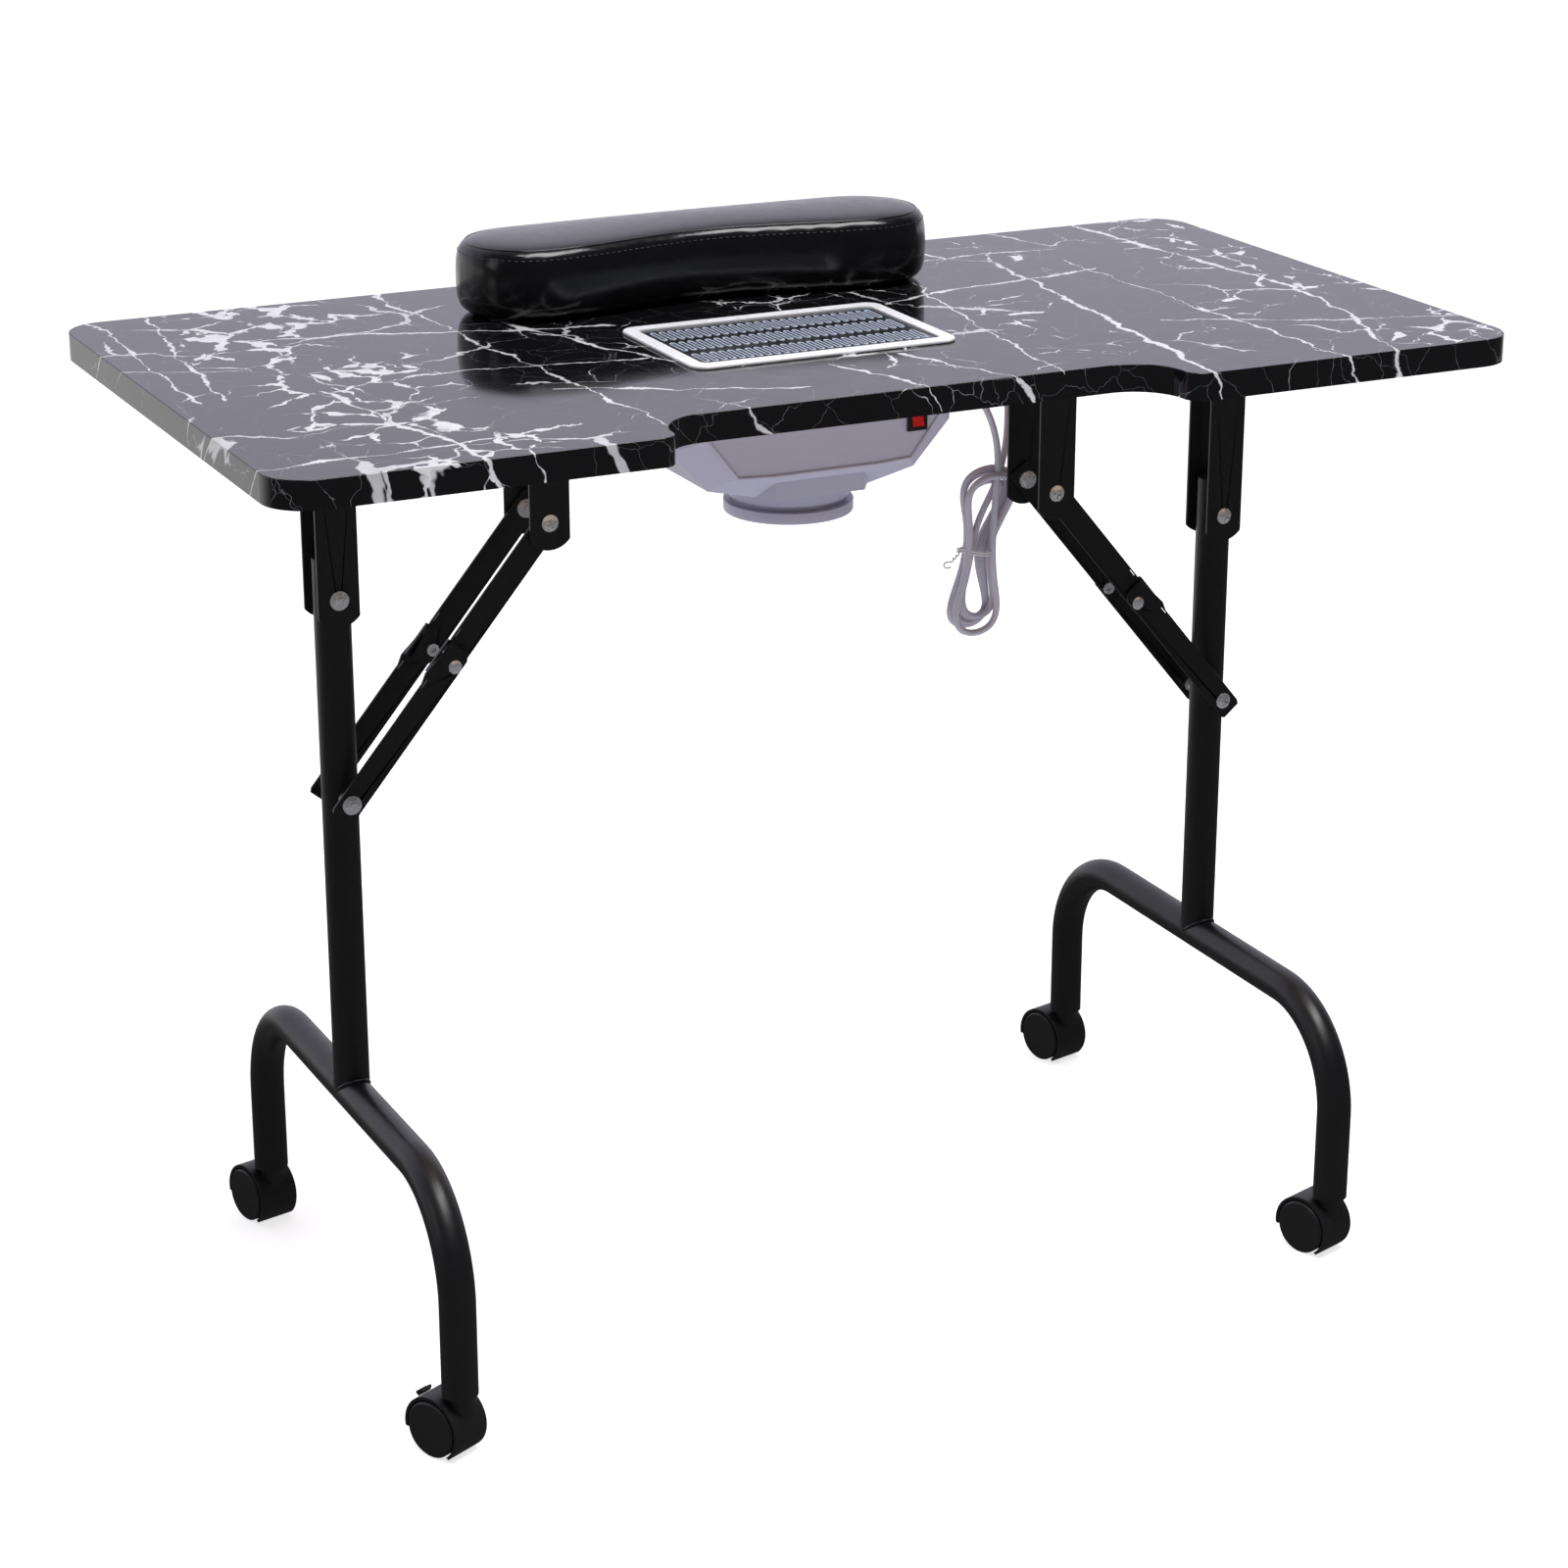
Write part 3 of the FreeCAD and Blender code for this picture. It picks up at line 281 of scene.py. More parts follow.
# How shattered the print is from left to right: (plan x, density)
SHATTER = ((-0.47, 0.34), (-0.41, 0.40), (-0.365, 0.74), (-0.30, 0.76), (-0.25, 0.40), (-0.18, 0.46), (-0.10, 0.30),
           (-0.02, 0.60), (0.06, 0.60), (0.14, 0.40), (0.22, 0.54), (0.29, 0.34), (0.36, 0.48), (0.42, 0.66),
           (0.47, 0.42))


def marble_material():
    g = Graph("marble_print")
    place = g.place()
    # the print in plan; below the top it slides sideways with depth, so that it carries on down the edge
    here = g.node("ShaderNodeSeparateXYZ")
    g.put(place, here.inputs[0])
    drop = g.math("SUBTRACT", TOP_Z, here.outputs["Z"])
    plan = g.node("ShaderNodeCombineXYZ")
    g.put(g.math("SUBTRACT", here.outputs["X"], g.math("MULTIPLY", drop, 0.35)), plan.inputs["X"])
    g.put(g.math("SUBTRACT", here.outputs["Y"], g.math("MULTIPLY", drop, 0.9)), plan.inputs["Y"])
    flat = plan.outputs[0]

    def wobble(source, scale, amount, detail):
        shift = g.vector("SUBTRACT", g.noise(source, scale, detail, 0.6, colour=True), (0.5, 0.5, 0.5))
        shift = g.vector("MULTIPLY", shift, (amount, amount, 0.0))
        return g.vector("ADD", source, shift)

    def curve(value, points):
        made = g.node("ShaderNodeFloatCurve")
        line = made.mapping.curves[0]
        while len(line.points) < len(points):
            line.points.new(0.5, 0.5)
        for target, point in zip(line.points, points):
            target.location = point
            target.handle_type = "VECTOR"
        made.mapping.update()
        g.put(value, made.inputs["Value"])
        return made.outputs["Value"]

    # long veins: distance to the nearest one, in half widths
    crooked = g.node("ShaderNodeSeparateXYZ")
    g.put(wobble(wobble(flat, 9.0, 0.035, 2.0), 60.0, 0.014, 4.0), crooked.inputs[0])
    nearest = 1000.0
    for half_width, run, place_across, tilt, start, end in VEINS:
        run_axis, other = ("Y", "X") if run == "deep" else ("X", "Y")
        middle, reach = (start + end) / 2, (end - start) / 2
        along = g.math("SUBTRACT", crooked.outputs[run_axis], middle)
        drawn = g.math("ADD", g.math("MULTIPLY", along, tilt / reach), place_across)
        gap = g.math("ABSOLUTE", g.math("SUBTRACT", crooked.outputs[other], drawn))
        past = g.math("MAXIMUM", g.math("SUBTRACT", g.math("ABSOLUTE", along), reach), 0.0)
        gap = g.math("ADD", gap, g.math("MULTIPLY", past, 0.5))
        nearest = g.math("MINIMUM", g.math("DIVIDE", gap, half_width), nearest)
    thickness = g.span(g.noise(flat, 26.0, 3.0), 0.36, 0.70, 0.30, 1.9)
    long_veins = g.span(g.math("DIVIDE", nearest, thickness), 0.55, 1.15, 1.0, 0.0)

    # shattered areas: a jagged crack network with swollen joints
    flat_parts = g.node("ShaderNodeSeparateXYZ")
    g.put(flat, flat_parts.inputs[0])
    across = g.math("DIVIDE", g.math("ADD", flat_parts.outputs["X"], PLAN_X), 2 * PLAN_X)
    density = curve(across, [((x + PLAN_X) / (2 * PLAN_X), d) for x, d in SHATTER])
    ragged = g.math("ADD", density, g.math("MULTIPLY", g.math("SUBTRACT", g.noise(flat, 9.0, 4.0), 0.5), 1.7))
    on_top = g.span(drop, 0.0005, 0.0030, 1.0, 0.30)
    patch = g.math("MULTIPLY", g.span(ragged, 0.50, 0.86, 0.0, 1.0), on_top)
    jagged = wobble(flat, 34.0, 0.028, 3.0)
    web = g.cells(jagged, 30.0)
    web_width = g.math("MULTIPLY", g.span(g.noise(flat, 48.0, 3.0), 0.38, 0.72, 0.0, 0.15), patch)
    cracks = g.span(g.math("SUBTRACT", web, web_width), -0.012, 0.006, 1.0, 0.0)

    # hair cracks over the whole print
    hair = g.cells(wobble(flat, 14.0, 0.06, 4.0), 9.0)
    hair_width = g.span(g.noise(flat, 11.0, 2.0), 0.48, 0.66, 0.0, 0.016)
    hairs = g.span(g.math("SUBTRACT", hair, hair_width), -0.004, 0.002, 0.8, 0.0)

    veins = g.math("MAXIMUM", long_veins, g.math("MAXIMUM", cracks, hairs))
    tone = g.mix(g.noise(flat, 90.0, 3.0), (0.42, 0.42, 0.44), (0.90, 0.90, 0.91))
    ground = g.mix(g.noise(flat, 7.0, 5.0), (0.0030, 0.0030, 0.0036), (0.0065, 0.0065, 0.0075))
    g.set(Base_Color=g.mix(veins, ground, tone))
    g.set(Roughness=g.span(g.noise(place, 35.0, 3.0), 0.3, 0.7, 0.075, 0.10))
    g.shader.inputs["IOR"].default_value = 1.52
    g.bump(g.noise(place, 240.0, 2.0), 0.02, 0.0001)
    return g.material


def board_material():
    g = Graph("particle_board")
    place = g.place()
    chips = g.cells(place, 420.0, "F1")
    g.set(Base_Color=g.mix(chips, (0.62, 0.47, 0.30), (0.30, 0.20, 0.11)), Roughness=0.85)
    g.bump(chips, 0.5, 0.0004)
    return g.material


def leather_material():
    g = Graph("faux_leather")
    place = g.place()
    pebbles = g.cells(place, 900.0, "SMOOTH_F1")
    creases = g.noise(place, 45.0, 4.0)
    g.set(Base_Color=g.mix(g.noise(place, 20.0, 4.0), (0.0025, 0.0025, 0.0032), (0.006, 0.006, 0.007)))
    g.set(Roughness=g.span(g.noise(place, 130.0, 3.0), 0.3, 0.7, 0.16, 0.23))
    height = g.math("ADD", g.math("MULTIPLY", pebbles, 0.35), g.math("MULTIPLY", creases, 0.8))
    g.bump(height, 0.03, 0.0004)
    return g.material


def zinc_material():
    g = Graph("bright_zinc")
    place = g.place()
    g.set(Base_Color=g.mix(g.noise(place, 90.0, 3.0), (0.74, 0.75, 0.78), (0.88, 0.88, 0.90)), Metallic=0.72)
    g.set(Roughness=g.span(g.noise(place, 250.0, 3.0), 0.3, 0.7, 0.22, 0.32))
    g.bump(g.noise(place, 700.0, 2.0), 0.05, 0.00004)
    return g.material


def filter_material():
    g = Graph("filter_fleece")
    place = g.place()
    fibres = g.noise(place, 900.0, 5.0, 0.8)
    g.set(Base_Color=g.mix(fibres, (0.34, 0.37, 0.42), (0.74, 0.77, 0.82)), Roughness=0.95)
    g.bump(fibres, 0.8, 0.0005)
    return g.material


def cord_material():
    g = Graph("cord_sheath")
    place = g.place()
    drift = g.noise(place, 30.0, 3.0)
    g.set(Base_Color=g.mix(drift, (0.42, 0.41, 0.49), (0.50, 0.49, 0.57)))
    g.set(Roughness=g.span(g.noise(place, 200.0, 3.0), 0.3, 0.7, 0.38, 0.50))
    g.shader.inputs["Subsurface Weight"].default_value = 0.05
    g.bump(g.noise(place, 1200.0, 2.0), 0.2, 0.00006)
    return g.material


MATERIALS = {
    "board": board_material(),
    "marble": marble_material(),
    "white_trim": fine_finish("white_moulding", (0.88, 0.88, 0.91), 0.28, grain=500.0),
    "grille": fine_finish("grille_plate", (0.018, 0.019, 0.022), 0.16, grain=400.0, bump=0.05),
    "filter": filter_material(),
    "hopper": fine_finish("lilac_moulding", (0.40, 0.395, 0.50), 0.32, grain=700.0, bump=0.08,
                          vary=0.03, spread=0.02),
    "fan": fine_finish("fan_moulding", (0.015, 0.015, 0.017), 0.42),
    "switch_black": fine_finish("switch_moulding", (0.010, 0.010, 0.011), 0.35),
    "switch_red": fine_finish("rocker_moulding", (0.50, 0.012, 0.012), 0.22, grain=300.0, bump=0.05),
    "cover": leather_material(),
    "frame_black": fine_finish("black_powder_coat", (0.0065, 0.0065, 0.0075), 0.36, grain=1400.0, bump=0.22,
                               depth=0.00007, spread=0.03),
    "zinc": zinc_material(),
    "caster_black": fine_finish("black_nylon", (0.0075, 0.0075, 0.0085), 0.46, grain=1100.0, bump=0.25),
    "cord_grey": cord_material(),
    "plug_grey": fine_finish("plug_moulding", (0.46, 0.45, 0.52), 0.42, grain=800.0),
    "pin_brass": fine_finish("pin_plate", (0.72, 0.66, 0.52), 0.25, metallic=1.0, grain=1500.0),
    "tie": fine_finish("tie_wire", (0.62, 0.62, 0.66), 0.35),
    "thread": fine_finish("stitch_thread", (0.012, 0.012, 0.014), 0.40, grain=3000.0, bump=0.3),
    # painted highlight: this pale blue-grey stands in for light caught on the slot edges of the black grille
    "rim": fine_finish("slot_rim_painted_highlight", (0.50, 0.56, 0.68), 0.30, grain=500.0),
}

for entry in frame["record"]["subparts"]:
    node = frame["nodes"][entry["node"]]
    node.data.materials.clear()
    node.data.materials.append(MATERIALS[entry["material_slot"]])


# Broken edges that catch the light: node name endings and the width of the break.
BROKEN_EDGES = (("outlet_collar", 0.0006), ("_bracket", 0.0005), ("_links", 0.0005), ("vent_frame", 0.0006))
for name, node in frame["nodes"].items():
    for ending, width in BROKEN_EDGES:
        if name.endswith(ending):
            weld = node.modifiers.new("weld", "WELD")
            weld.merge_threshold = 0.00001
            bevel = node.modifiers.new("broken_edges", "BEVEL")
            bevel.width, bevel.segments = width, 2
            bevel.limit_method, bevel.angle_limit = "ANGLE", math.radians(28)


# ---------------------------------------------------------------- cord
LEAD_ROUTE = ((0.1095, 0.010, 0.643), (0.126, 0.012, 0.6435), (0.152, 0.020, 0.634), (0.174, 0.024, 0.610),
              (0.187, 0.028, 0.577), (0.184, 0.027, 0.545), (0.1775, 0.027, 0.519))
TAIL_ROUTE = ((0.172, 0.032, 0.524), (0.186, 0.033, 0.545), (0.193, 0.034, 0.564), (0.198, 0.037, 0.582),
              (0.201, 0.042, 0.604), (0.202, 0.047, 0.624), (0.205, 0.051, 0.641), (0.214, 0.053, 0.654),
              (0.231, 0.053, 0.655), (0.242, 0.050, 0.644), (0.245, 0.047, 0.625), (0.245, 0.045, 0.607))
# Each turn of the hank, in metres: bottom depth, half width and lean, top height, half width and lean, and the
# distance behind the middle at its start and at its end. The last is a half turn, and uses no top values.
HANK_TURNS = (
    (0.064, 0.034, -0.004, 0.056, 0.040, 0.012, -0.009, -0.005),
    (0.053, 0.024, 0.001, 0.061, 0.046, 0.011, -0.004, 0.001),
    (0.058, 0.028, -0.003, 0.050, 0.032, 0.013, 0.002, 0.006),
    (0.062, 0.038, -0.003, 0.057, 0.044, 0.012, 0.008, 0.003),
    (0.055, 0.028, 0.000, 0.057, 0.044, 0.012, 0.003, 0.000),
)
POINTS_PER_TURN = 16
NECK_HALF, NECK_TAPER = 0.0085, 0.0015  # half width where the tie holds the turns, and how much less each turn has


def hank_points():
    points = []
    for number, turn in enumerate(HANK_TURNS):
        low, low_half, low_lean, high, high_half, high_lean, near, far = turn
        last = number == len(HANK_TURNS) - 1
        steps = POINTS_PER_TURN if not last else POINTS_PER_TURN // 2 + 1
        for step in range(steps):
            angle = 2 * math.pi * step / POINTS_PER_TURN
            across, along = math.cos(angle), -math.sin(angle)
            below = along < 0
            depth, half, lean = (low, low_half, low_lean) if below else (high, high_half, high_lean)
            waist = NECK_HALF - NECK_TAPER * number
            x = HANK_WAIST.x + across * (waist + half * along * along) + lean * abs(along)
            y = HANK_WAIST.y + near + (far - near) * step / POINTS_PER_TURN
            points.append(Vector((x, y, HANK_WAIST.z + along * depth)))
    return points


def make_cord():
    points = [Vector(p) for p in LEAD_ROUTE[:-1]] + hank_points() + [Vector(p) for p in TAIL_ROUTE]
    cord = spline_curve("mains_cord", points, CORD_D / 2)
    dress(cord, "table", MATERIALS["cord_grey"])
    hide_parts("cord_lead", "cord_hank", "cord_tail")
    return cord


cord = make_cord()


# ---------------------------------------------------------------- hand rest
def rest_outline():
    """Kidney outline of the hand rest, anticlockwise from its right end: (edge point, spine point) pairs."""
    edge_steps, end_steps = 40, 22

    def back(x):
        return REST_Y + REST_BACK - 0.003 * (x / REST_END_X) ** 2

    def front(x):
        return REST_Y - REST_END_R + REST_HOLLOW * (0.5 + 0.5 * math.cos(math.pi * x / REST_END_X))

    def long_edge(x, y):
        return Vector((REST_X + x, y, 0)), Vector((REST_X + x, REST_Y, 0))

    def round_end(x, start):
        centre = Vector((REST_X + x, REST_Y, 0))
        turns = [start + math.pi * i / end_steps for i in range(end_steps)]
        return [(centre + Vector((math.cos(t), math.sin(t), 0)) * REST_END_R, centre) for t in turns]

    leftward = [REST_END_X * (1 - 2 * i / edge_steps) for i in range(edge_steps)]
    rightward = [REST_END_X * (2 * i / edge_steps - 1) for i in range(edge_steps)]
    return ([long_edge(x, back(x)) for x in leftward] + round_end(-REST_END_X, math.pi / 2) +
            [long_edge(x, front(x)) for x in rightward] + round_end(REST_END_X, -math.pi / 2))


def inset(pair, amount, z):
    edge, spine = pair
    arm = edge - spine
    return spine + arm * max(0.02, 1 - amount / arm.length) + Vector((0, 0, TOP_Z + z))


def swell(obj, pinned, pressure, cap):
    """Blow the closed mesh up a little as cloth, hold the pinned vertices, and keep the result."""
    group = obj.vertex_groups.new(name="held")
    for vertex in obj.data.vertices:
        if pinned(vertex.co):
            group.add([vertex.index], 1.0, "REPLACE")
    rest = [v.co.copy() for v in obj.data.vertices]
    cloth = obj.modifiers.new("cloth", "CLOTH")
    cloth.settings.use_pressure = True
    cloth.settings.uniform_pressure_force = pressure
    cloth.settings.vertex_group_mass = "held"
    cloth.settings.effector_weights.gravity = 0.0
    cloth.settings.quality = 6
    cloth.point_cache.frame_start, cloth.point_cache.frame_end = 1, 20
    for step in range(1, 21):
        bpy.context.scene.frame_set(step)
    shape = obj.evaluated_get(bpy.context.evaluated_depsgraph_get()).to_mesh()
    blown = [v.co.copy() for v in shape.vertices]
    obj.modifiers.remove(cloth)
    bpy.context.scene.frame_set(1)
    for vertex, old, new in zip(obj.data.vertices, rest, blown):
        move = new - old
        if move.length > cap:
            move = move.normalized() * cap
        vertex.co = old + move
    obj.vertex_groups.remove(group)


def make_cushion():
    pairs = rest_outline()
    # (inset from the outline, height above the top) from the foot of the side to the middle of the crown
    profile = ((0.012, 0.0), (0.0030, 0.0008), (0.0010, 0.004), (-0.0005, 0.014), (-0.0008, 0.030), (0.0, 0.043),
               (0.0012, REST_SEAM - 0.0015), (0.0022, REST_SEAM), (0.0034, REST_SEAM + 0.0014),
               (0.008, 0.0530), (0.016, 0.0542), (0.028, 0.0550), (0.040, 0.0554))
    bm = bmesh.new()
    rings = [[bm.verts.new(inset(pair, amount, z)) for pair in pairs] for amount, z in profile]
    for lower, upper in zip(rings, rings[1:]):
        bridge(bm, lower, upper)
    for ring in (rings[0], rings[-1]):
        bm.faces.new(ring)
    bmesh.ops.triangulate(bm, faces=[f for f in bm.faces if len(f.verts) > 4])
    cushion = mesh_object("hand_rest_pillow", bm)
    remesh = cushion.modifiers.new("remesh", "REMESH")
    remesh.mode = "VOXEL"
    remesh.voxel_size = 0.004
    shape = bpy.data.meshes.new_from_object(
        cushion.evaluated_get(bpy.context.evaluated_depsgraph_get()))
    cushion.modifiers.remove(remesh)
    cushion.data = shape

    def held(co):
        z = co.z - TOP_Z
        return z < 0.003 or abs(z - REST_SEAM) < 0.0028

    swell(cushion, held, 4.0, 0.005)
    for vertex in cushion.data.vertices:
        vertex.co.z = max(vertex.co.z, TOP_Z + 0.0002)
    for polygon in cushion.data.polygons:
        polygon.use_smooth = True
    soften = cushion.modifiers.new("soften", "SMOOTH")
    soften.factor, soften.iterations = 0.5, 30
    finer = cushion.modifiers.new("finer", "SUBSURF")
    finer.levels = finer.render_levels = 1
    dress(cushion, "table", MATERIALS["cover"])
    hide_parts("hand_rest_cushion")

    # the finished surface, so that seam and stitches lie on it
    surface = BVHTree.FromObject(cushion, bpy.context.evaluated_depsgraph_get())

    def on_surface(pair, z, proud):
        start = inset(pair, -0.02, z)
        inward = (inset(pair, 0.02, z) - start).normalized()
        hit = surface.ray_cast(start, inward)[0]
        return (hit if hit else start - inward * -0.02) - inward * proud

    # welt along the seam
    bm = bmesh.new()
    closed_tube(bm, [on_surface(pair, REST_SEAM, -0.0006) for pair in pairs], WELT_R)
    welt = mesh_object("hand_rest_welt", bm)
    dress(welt, "table", MATERIALS["cover"])

    # stitches below the seam: short raised threads, evenly spaced
    path = [on_surface(pair, REST_SEAM - STITCH_DROP, 0.0001) for pair in pairs]
    bm = bmesh.new()
    length = 0.0
    ends = list(zip(path, path[1:] + path[:1]))
    due = STITCH_PITCH / 2
    for a, b in ends:
        step = (b - a).length
        while due <= length + step:
            centre = a.lerp(b, (due - length) / step)
            tangent = (b - a).normalized()
            out = tangent.cross(Vector((0, 0, 1)))
            up = Vector((0, 0, 1))
            last = None
            for along, radius in STITCH_SHAPE:
                ring = sweep_ring(bm, centre + tangent * STITCH_HALF * along, out, up, radius, radius, 6)
                if last is None:
                    bm.faces.new(ring[::-1])
                else:
                    bridge(bm, last, ring)
                last = ring
            bm.faces.new(last)
            due += STITCH_PITCH
        length += step
    stitches = mesh_object("hand_rest_stitches", bm)
    dress(stitches, "table", MATERIALS["thread"])


make_cushion()


# ---------------------------------------------------------------- hopper trim
def flat_loops(node, direction, area_over):
    """Closed outlines of a node's large flat regions that face one way."""
    bm = bmesh.new()
    bm.from_mesh(frame["nodes"][node].data)
    bmesh.ops.remove_doubles(bm, verts=bm.verts, dist=0.00002)
    bm.normal_update()
    facing = {f for f in bm.faces if f.normal.dot(direction) > 0.999}
    loops = []
    while facing:
        seed = facing.pop()
        region, queue = {seed}, [seed]
        while queue:
            for edge in queue.pop().edges:
                for face in edge.link_faces:
                    if face in facing:
                        facing.discard(face)
                        region.add(face)
                        queue.append(face)
        if sum(f.calc_area() for f in region) < area_over:
            continue
        rim = [e for f in region for e in f.edges if sum(1 for g in e.link_faces if g in region) == 1]
        joined = {}
        for edge in rim:
            for a, b in (edge.verts, reversed(edge.verts)):
                joined.setdefault(a, []).append(b)
        while joined:
            start = next(iter(joined))
            path, last, at = [start.co.copy()], None, start
            while True:
                onward = [v for v in joined.pop(at, []) if v is not last and (v in joined or v is start)]
                if not onward or onward[0] is start:
                    break
                last, at = at, onward[0]
                path.append(at.co.copy())
            if len(path) > 3:
                loops.append(path)
    bm.free()
    return loops


def make_hopper_bead():
    """Rounded bead that frames the front panel of the dust hopper."""
    loops = flat_loops("dust_hopper", Vector((0, -1, 0)), 0.0008)
    if not loops:
        return
    loop = max(loops, key=lambda path: sum((a - b).length for a, b in zip(path, path[1:] + path[:1])))
    bm = bmesh.new()
    fine = []
    for a, b in zip(loop, loop[1:] + loop[:1]):
        count = max(1, round((b - a).length / 0.003))
        fine += [a.lerp(b, i / count) for i in range(count)]
    closed_tube(bm, fine, HOPPER_BEAD_R)
    bead = mesh_object("hopper_front_bead", bm)
    dress(bead, "table", MATERIALS["hopper"])


make_hopper_bead()


# ---------------------------------------------------------------- weld beads
def make_weld_bead(side):
    """Lumpy ring of weld where the post stands on the base tube."""
    x = LEG_X if side == "right" else -LEG_X
    path = []
    count = 72
    for i in range(count):
        t = 2 * math.pi * i / count
        reach = TUBE_R - 0.0013 + (0.0021 + 0.0002 * math.sin(9 * t)) * math.sin(t) ** 2
        rise = math.sqrt(max(0.0, TUBE_R ** 2 - (TUBE_R * math.cos(t)) ** 2 * 0.96))
        path.append(Vector((x + reach * math.cos(t), LEG_Y + reach * math.sin(t), BASE_AXIS_Z + rise + 0.0004)))
    bm = bmesh.new()
    closed_tube(bm, path, WELD_R)
    bead = mesh_object(side + "_weld_bead", bm)
    dress(bead, side + "_leg", MATERIALS["frame_black"])


make_weld_bead("left")
make_weld_bead("right")


# ---------------------------------------------------------------- grille slot rims: painted highlights
def make_slot_rim_highlights():
    # a pale ring at the edge of each slot: painted highlight, not a part of its own colour
    bm = bmesh.new()
    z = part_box("vent_grille")[1][2]
    radius = SLOT_WIDTH / 2 + RIM_HIGHLIGHT_CLEAR
    for row_y, length in SLOT_ROWS:
        for i in range(SLOTS_PER_ROW):
            x = VENT_X + (i - (SLOTS_PER_ROW - 1) / 2) * SLOT_PITCH
            half = length / 2 - SLOT_WIDTH / 2
            path = []
            for end in (1, -1):
                for step in range(9):
                    t = math.pi * step / 8 + (0 if end > 0 else math.pi)
                    y = VENT_Y + row_y + end * half + radius * math.sin(t)
                    path.append(Vector((x + radius * math.cos(t), y, z)))
            closed_tube(bm, path, RIM_HIGHLIGHT_R, 6)
    rim_highlights = mesh_object("grille_slot_rim_highlights", bm)
    dress(rim_highlights, "table", MATERIALS["rim"])


make_slot_rim_highlights()


# ---------------------------------------------------------------- tie and strain relief
def make_tie_wire():
    bm = bmesh.new()
    turns = []
    for i in range(48):
        t = 2 * math.pi * i / 48
        ripple = 0.0016 * math.sin(2 * t + 0.6)
        turns.append(HANK_WAIST + Vector((TIE_X * math.cos(t), TIE_Y * math.sin(t), ripple)))
    closed_tube(bm, turns, TIE_R)
    closed_tube(bm, [p + Vector((0, 0, -0.0019)) for p in turns], TIE_R)
    wire = mesh_object("tie_wire", bm)
    dress(wire, "table", MATERIALS["tie"])
    knot = HANK_WAIST + Vector((-0.0150, -0.003, -0.001))
    tail = []
    for i in range(30):
        s = i / 29
        t = s * 2 * math.pi * 3
        tail.append(knot + Vector((-0.0085 * s, -0.003 * s, -0.005 * s)) +
                    Vector((0.0, math.cos(t), math.sin(t))) * 0.0009)
    loop = knot + Vector((-0.012, -0.0035, -0.007))
    tail += [loop + Vector((math.cos(t) * 0.004, 0, math.sin(t) * 0.003)) for t in (0.7, 2.0, 3.3, 4.6, 5.6)]
    twist = spline_curve("tie_twist", tail, 0.0006)
    dress(twist, "table", MATERIALS["tie"])
    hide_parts("hank_tie")


make_tie_wire()


def make_strain_relief():
    """Ribbed tapered sleeve that follows the lead out of the hopper."""
    points = [Vector(p) for p in LEAD_ROUTE[:4]]
    bm = bmesh.new()
    last = None
    count = 56
    for i in range(count + 1):
        s = i / count
        left = RELIEF_LENGTH * s
        at, tangent = points[0], (points[1] - points[0]).normalized()
        for a, b in zip(points, points[1:]):
            step = (b - a).length
            if left <= step:
                at, tangent = a.lerp(b, left / step), (b - a).normalized()
                break
            left -= step
        radius = RELIEF_R - RELIEF_TAPER * s + (RELIEF_RIB if (i // 3) % 2 else 0.0)
        u = tangent.cross(Vector((0, 0, 1))).normalized()
        ring = sweep_ring(bm, at, u, u.cross(tangent), radius, radius, 20)
        if last is None:
            bm.faces.new(ring[::-1])
        else:
            bridge(bm, last, ring)
        last = ring
    bm.faces.new(last)
    relief = mesh_object("cord_strain_relief", bm)
    dress(relief, "table", MATERIALS["cord_grey"])


make_strain_relief()


# ---------------------------------------------------------------- stage and light
BACK_GLOW = 0.92                        # brightness of the studio behind the table
FRONT_GLOW = 0.075                      # and in front of it
FLOOR_GLOW, FLOOR_GLOW_SEEN = 0.42, 0.32    # the floor's own light, and what the camera sees on top of it


def glow_by_depth(nodes, links, direction, low, high):
    """Brightness that rises from the front of the studio to its back."""
    split = nodes.new("ShaderNodeSeparateXYZ")
    links.new(direction, split.inputs[0])
    ramp = nodes.new("ShaderNodeMapRange")
    ramp.interpolation_type = "SMOOTHSTEP"
    links.new(split.outputs["Y"], ramp.inputs["Value"])
    ramp.inputs["From Min"].default_value = low
    ramp.inputs["From Max"].default_value = high
    ramp.inputs["To Min"].default_value = FRONT_GLOW
    ramp.inputs["To Max"].default_value = BACK_GLOW
    return ramp.outputs["Result"]


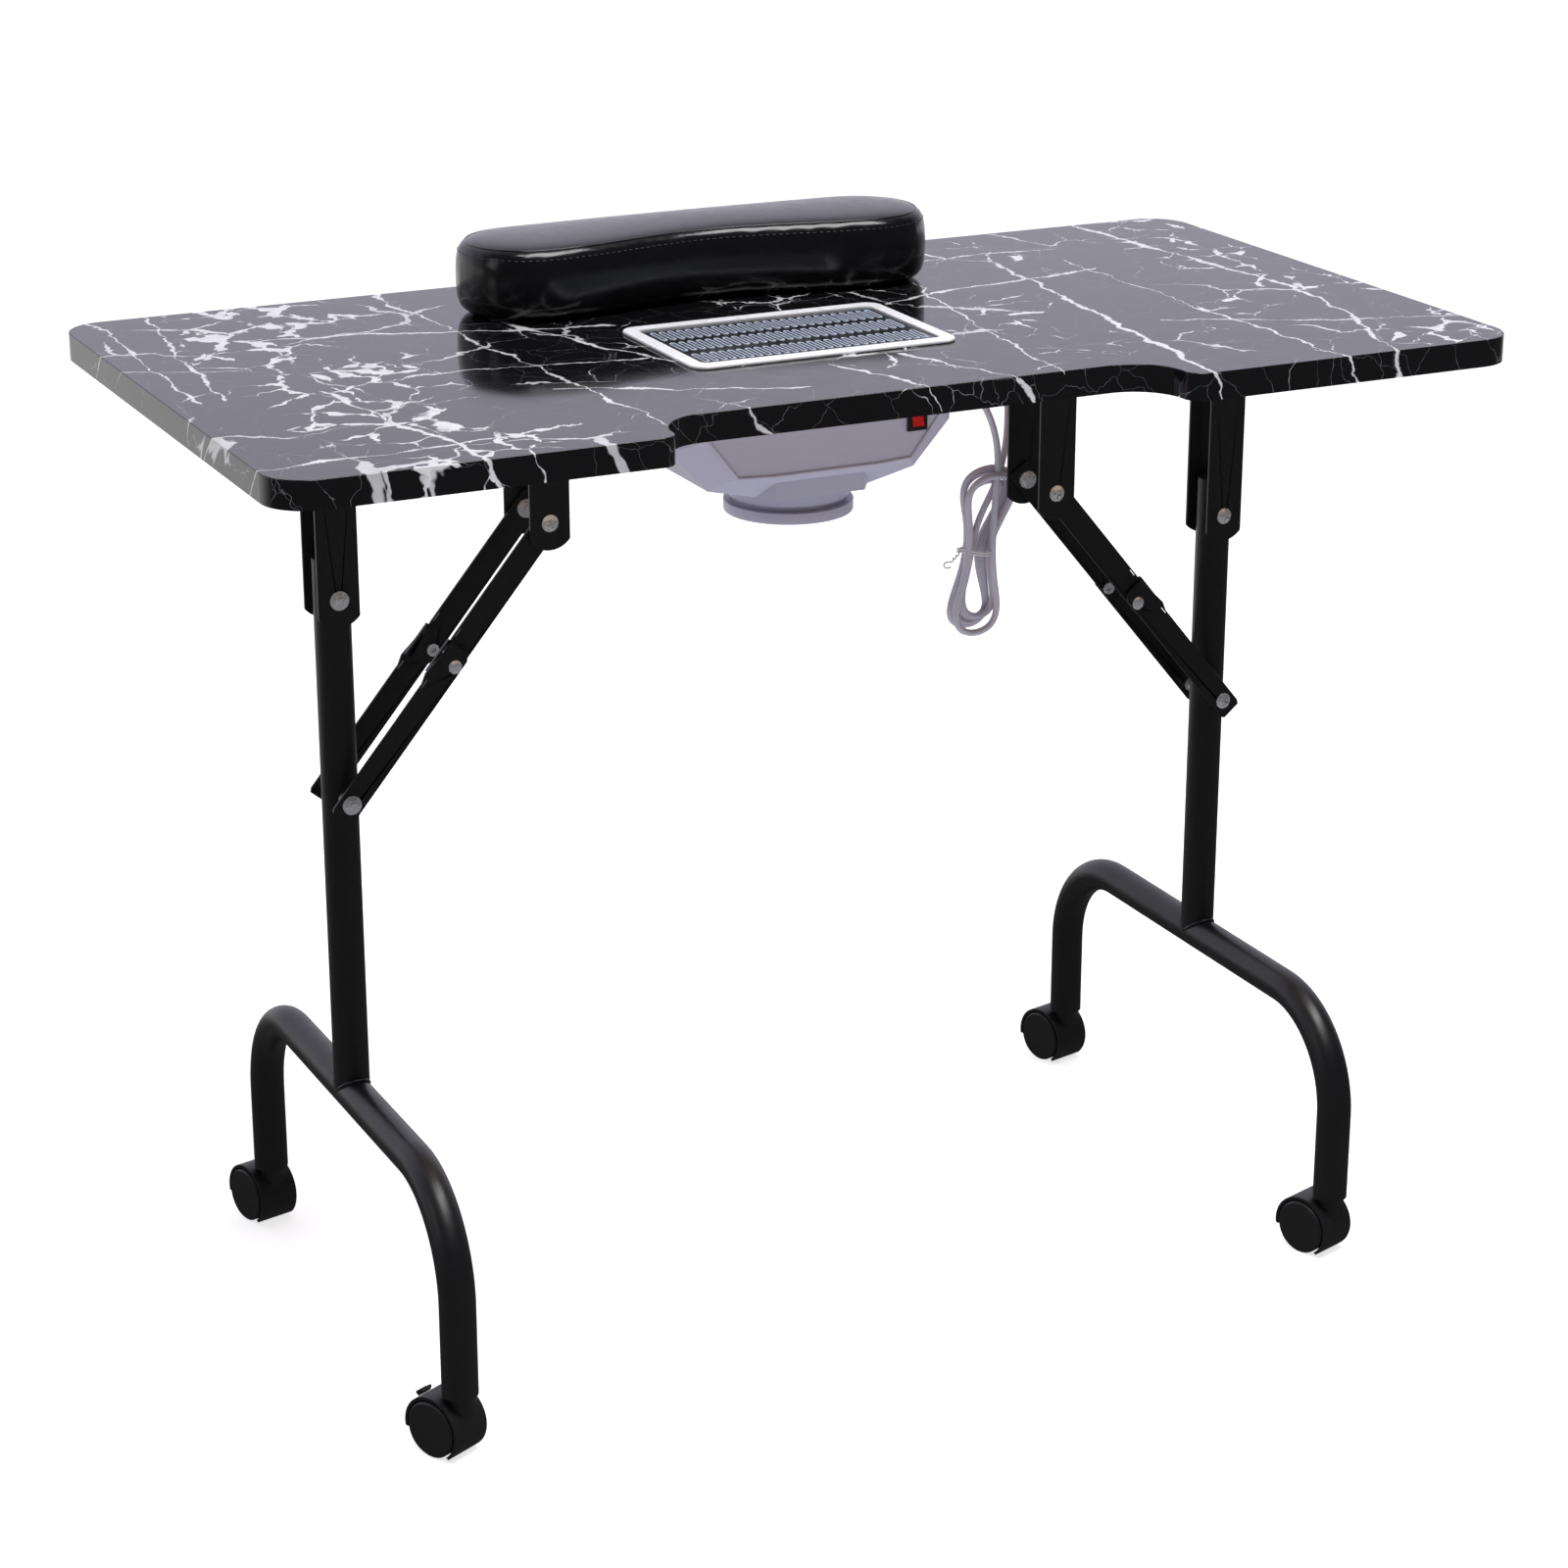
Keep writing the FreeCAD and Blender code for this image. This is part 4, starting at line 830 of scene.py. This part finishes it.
def make_stage():
    """Pale floor. Mirror reflections see it as dark in front of the table and bright behind it."""
    bm = bmesh.new()
    bmesh.ops.create_grid(bm, x_segments=1, y_segments=1, size=30.0)
    floor = mesh_object("floor", bm)
    g = Graph("pale_floor")
    tone = g.noise(g.place(), 1.5, 2.0)
    g.set(Base_Color=g.mix(tone, (0.88, 0.88, 0.89), (0.91, 0.91, 0.92)), Roughness=0.9)
    g.shader.inputs["Specular IOR Level"].default_value = 0.1
    g.shader.inputs["Emission Color"].default_value = (1.0, 1.0, 1.0, 1.0)
    rays = g.node("ShaderNodeLightPath")
    seen = g.math("MULTIPLY", rays.outputs["Is Camera Ray"], FLOOR_GLOW_SEEN)
    g.put(g.math("ADD", seen, FLOOR_GLOW), g.shader.inputs["Emission Strength"])
    glow = g.node("ShaderNodeEmission")
    g.put(glow_by_depth(g.tree.nodes, g.tree.links, g.place(), 0.4, 2.0), glow.inputs["Strength"])
    mixed = g.node("ShaderNodeMixShader")
    g.put(rays.outputs["Is Glossy Ray"], mixed.inputs["Fac"])
    g.put(g.shader.outputs[0], mixed.inputs[1])
    g.put(glow.outputs[0], mixed.inputs[2])
    g.put(mixed.outputs[0], g.tree.nodes["Material Output"].inputs["Surface"])
    floor.data.materials.append(g.material)


def area_light(name, location, target, size, energy):
    data = bpy.data.lights.new(name, "AREA")
    data.shape = "RECTANGLE"
    data.size, data.size_y = size
    data.energy = energy
    lamp = link_object(name, data)
    lamp.location = location
    aim = Vector(target) - Vector(location)
    lamp.rotation_euler = aim.to_track_quat("-Z", "Y").to_euler()


def make_world():
    world = bpy.data.worlds.new("studio")
    bpy.context.scene.world = world
    world.use_nodes = True
    nodes, links = world.node_tree.nodes, world.node_tree.links
    background = nodes["Background"]
    background.inputs["Color"].default_value = (0.88, 0.85, 1.0, 1.0)
    direction = nodes.new("ShaderNodeTexCoord").outputs["Generated"]
    links.new(glow_by_depth(nodes, links, direction, -0.15, 0.75), background.inputs["Strength"])


bpy.context.scene.view_settings.view_transform = "Standard"
make_stage()
make_world()
area_light("overhead", (0.3, -0.8, 3.2), (0, 0, 0.4), (2.2, 1.2), 85.0)
area_light("side", (-3.0, -0.4, 1.6), (0, 0, 0.5), (0.8, 1.4), 4.0)
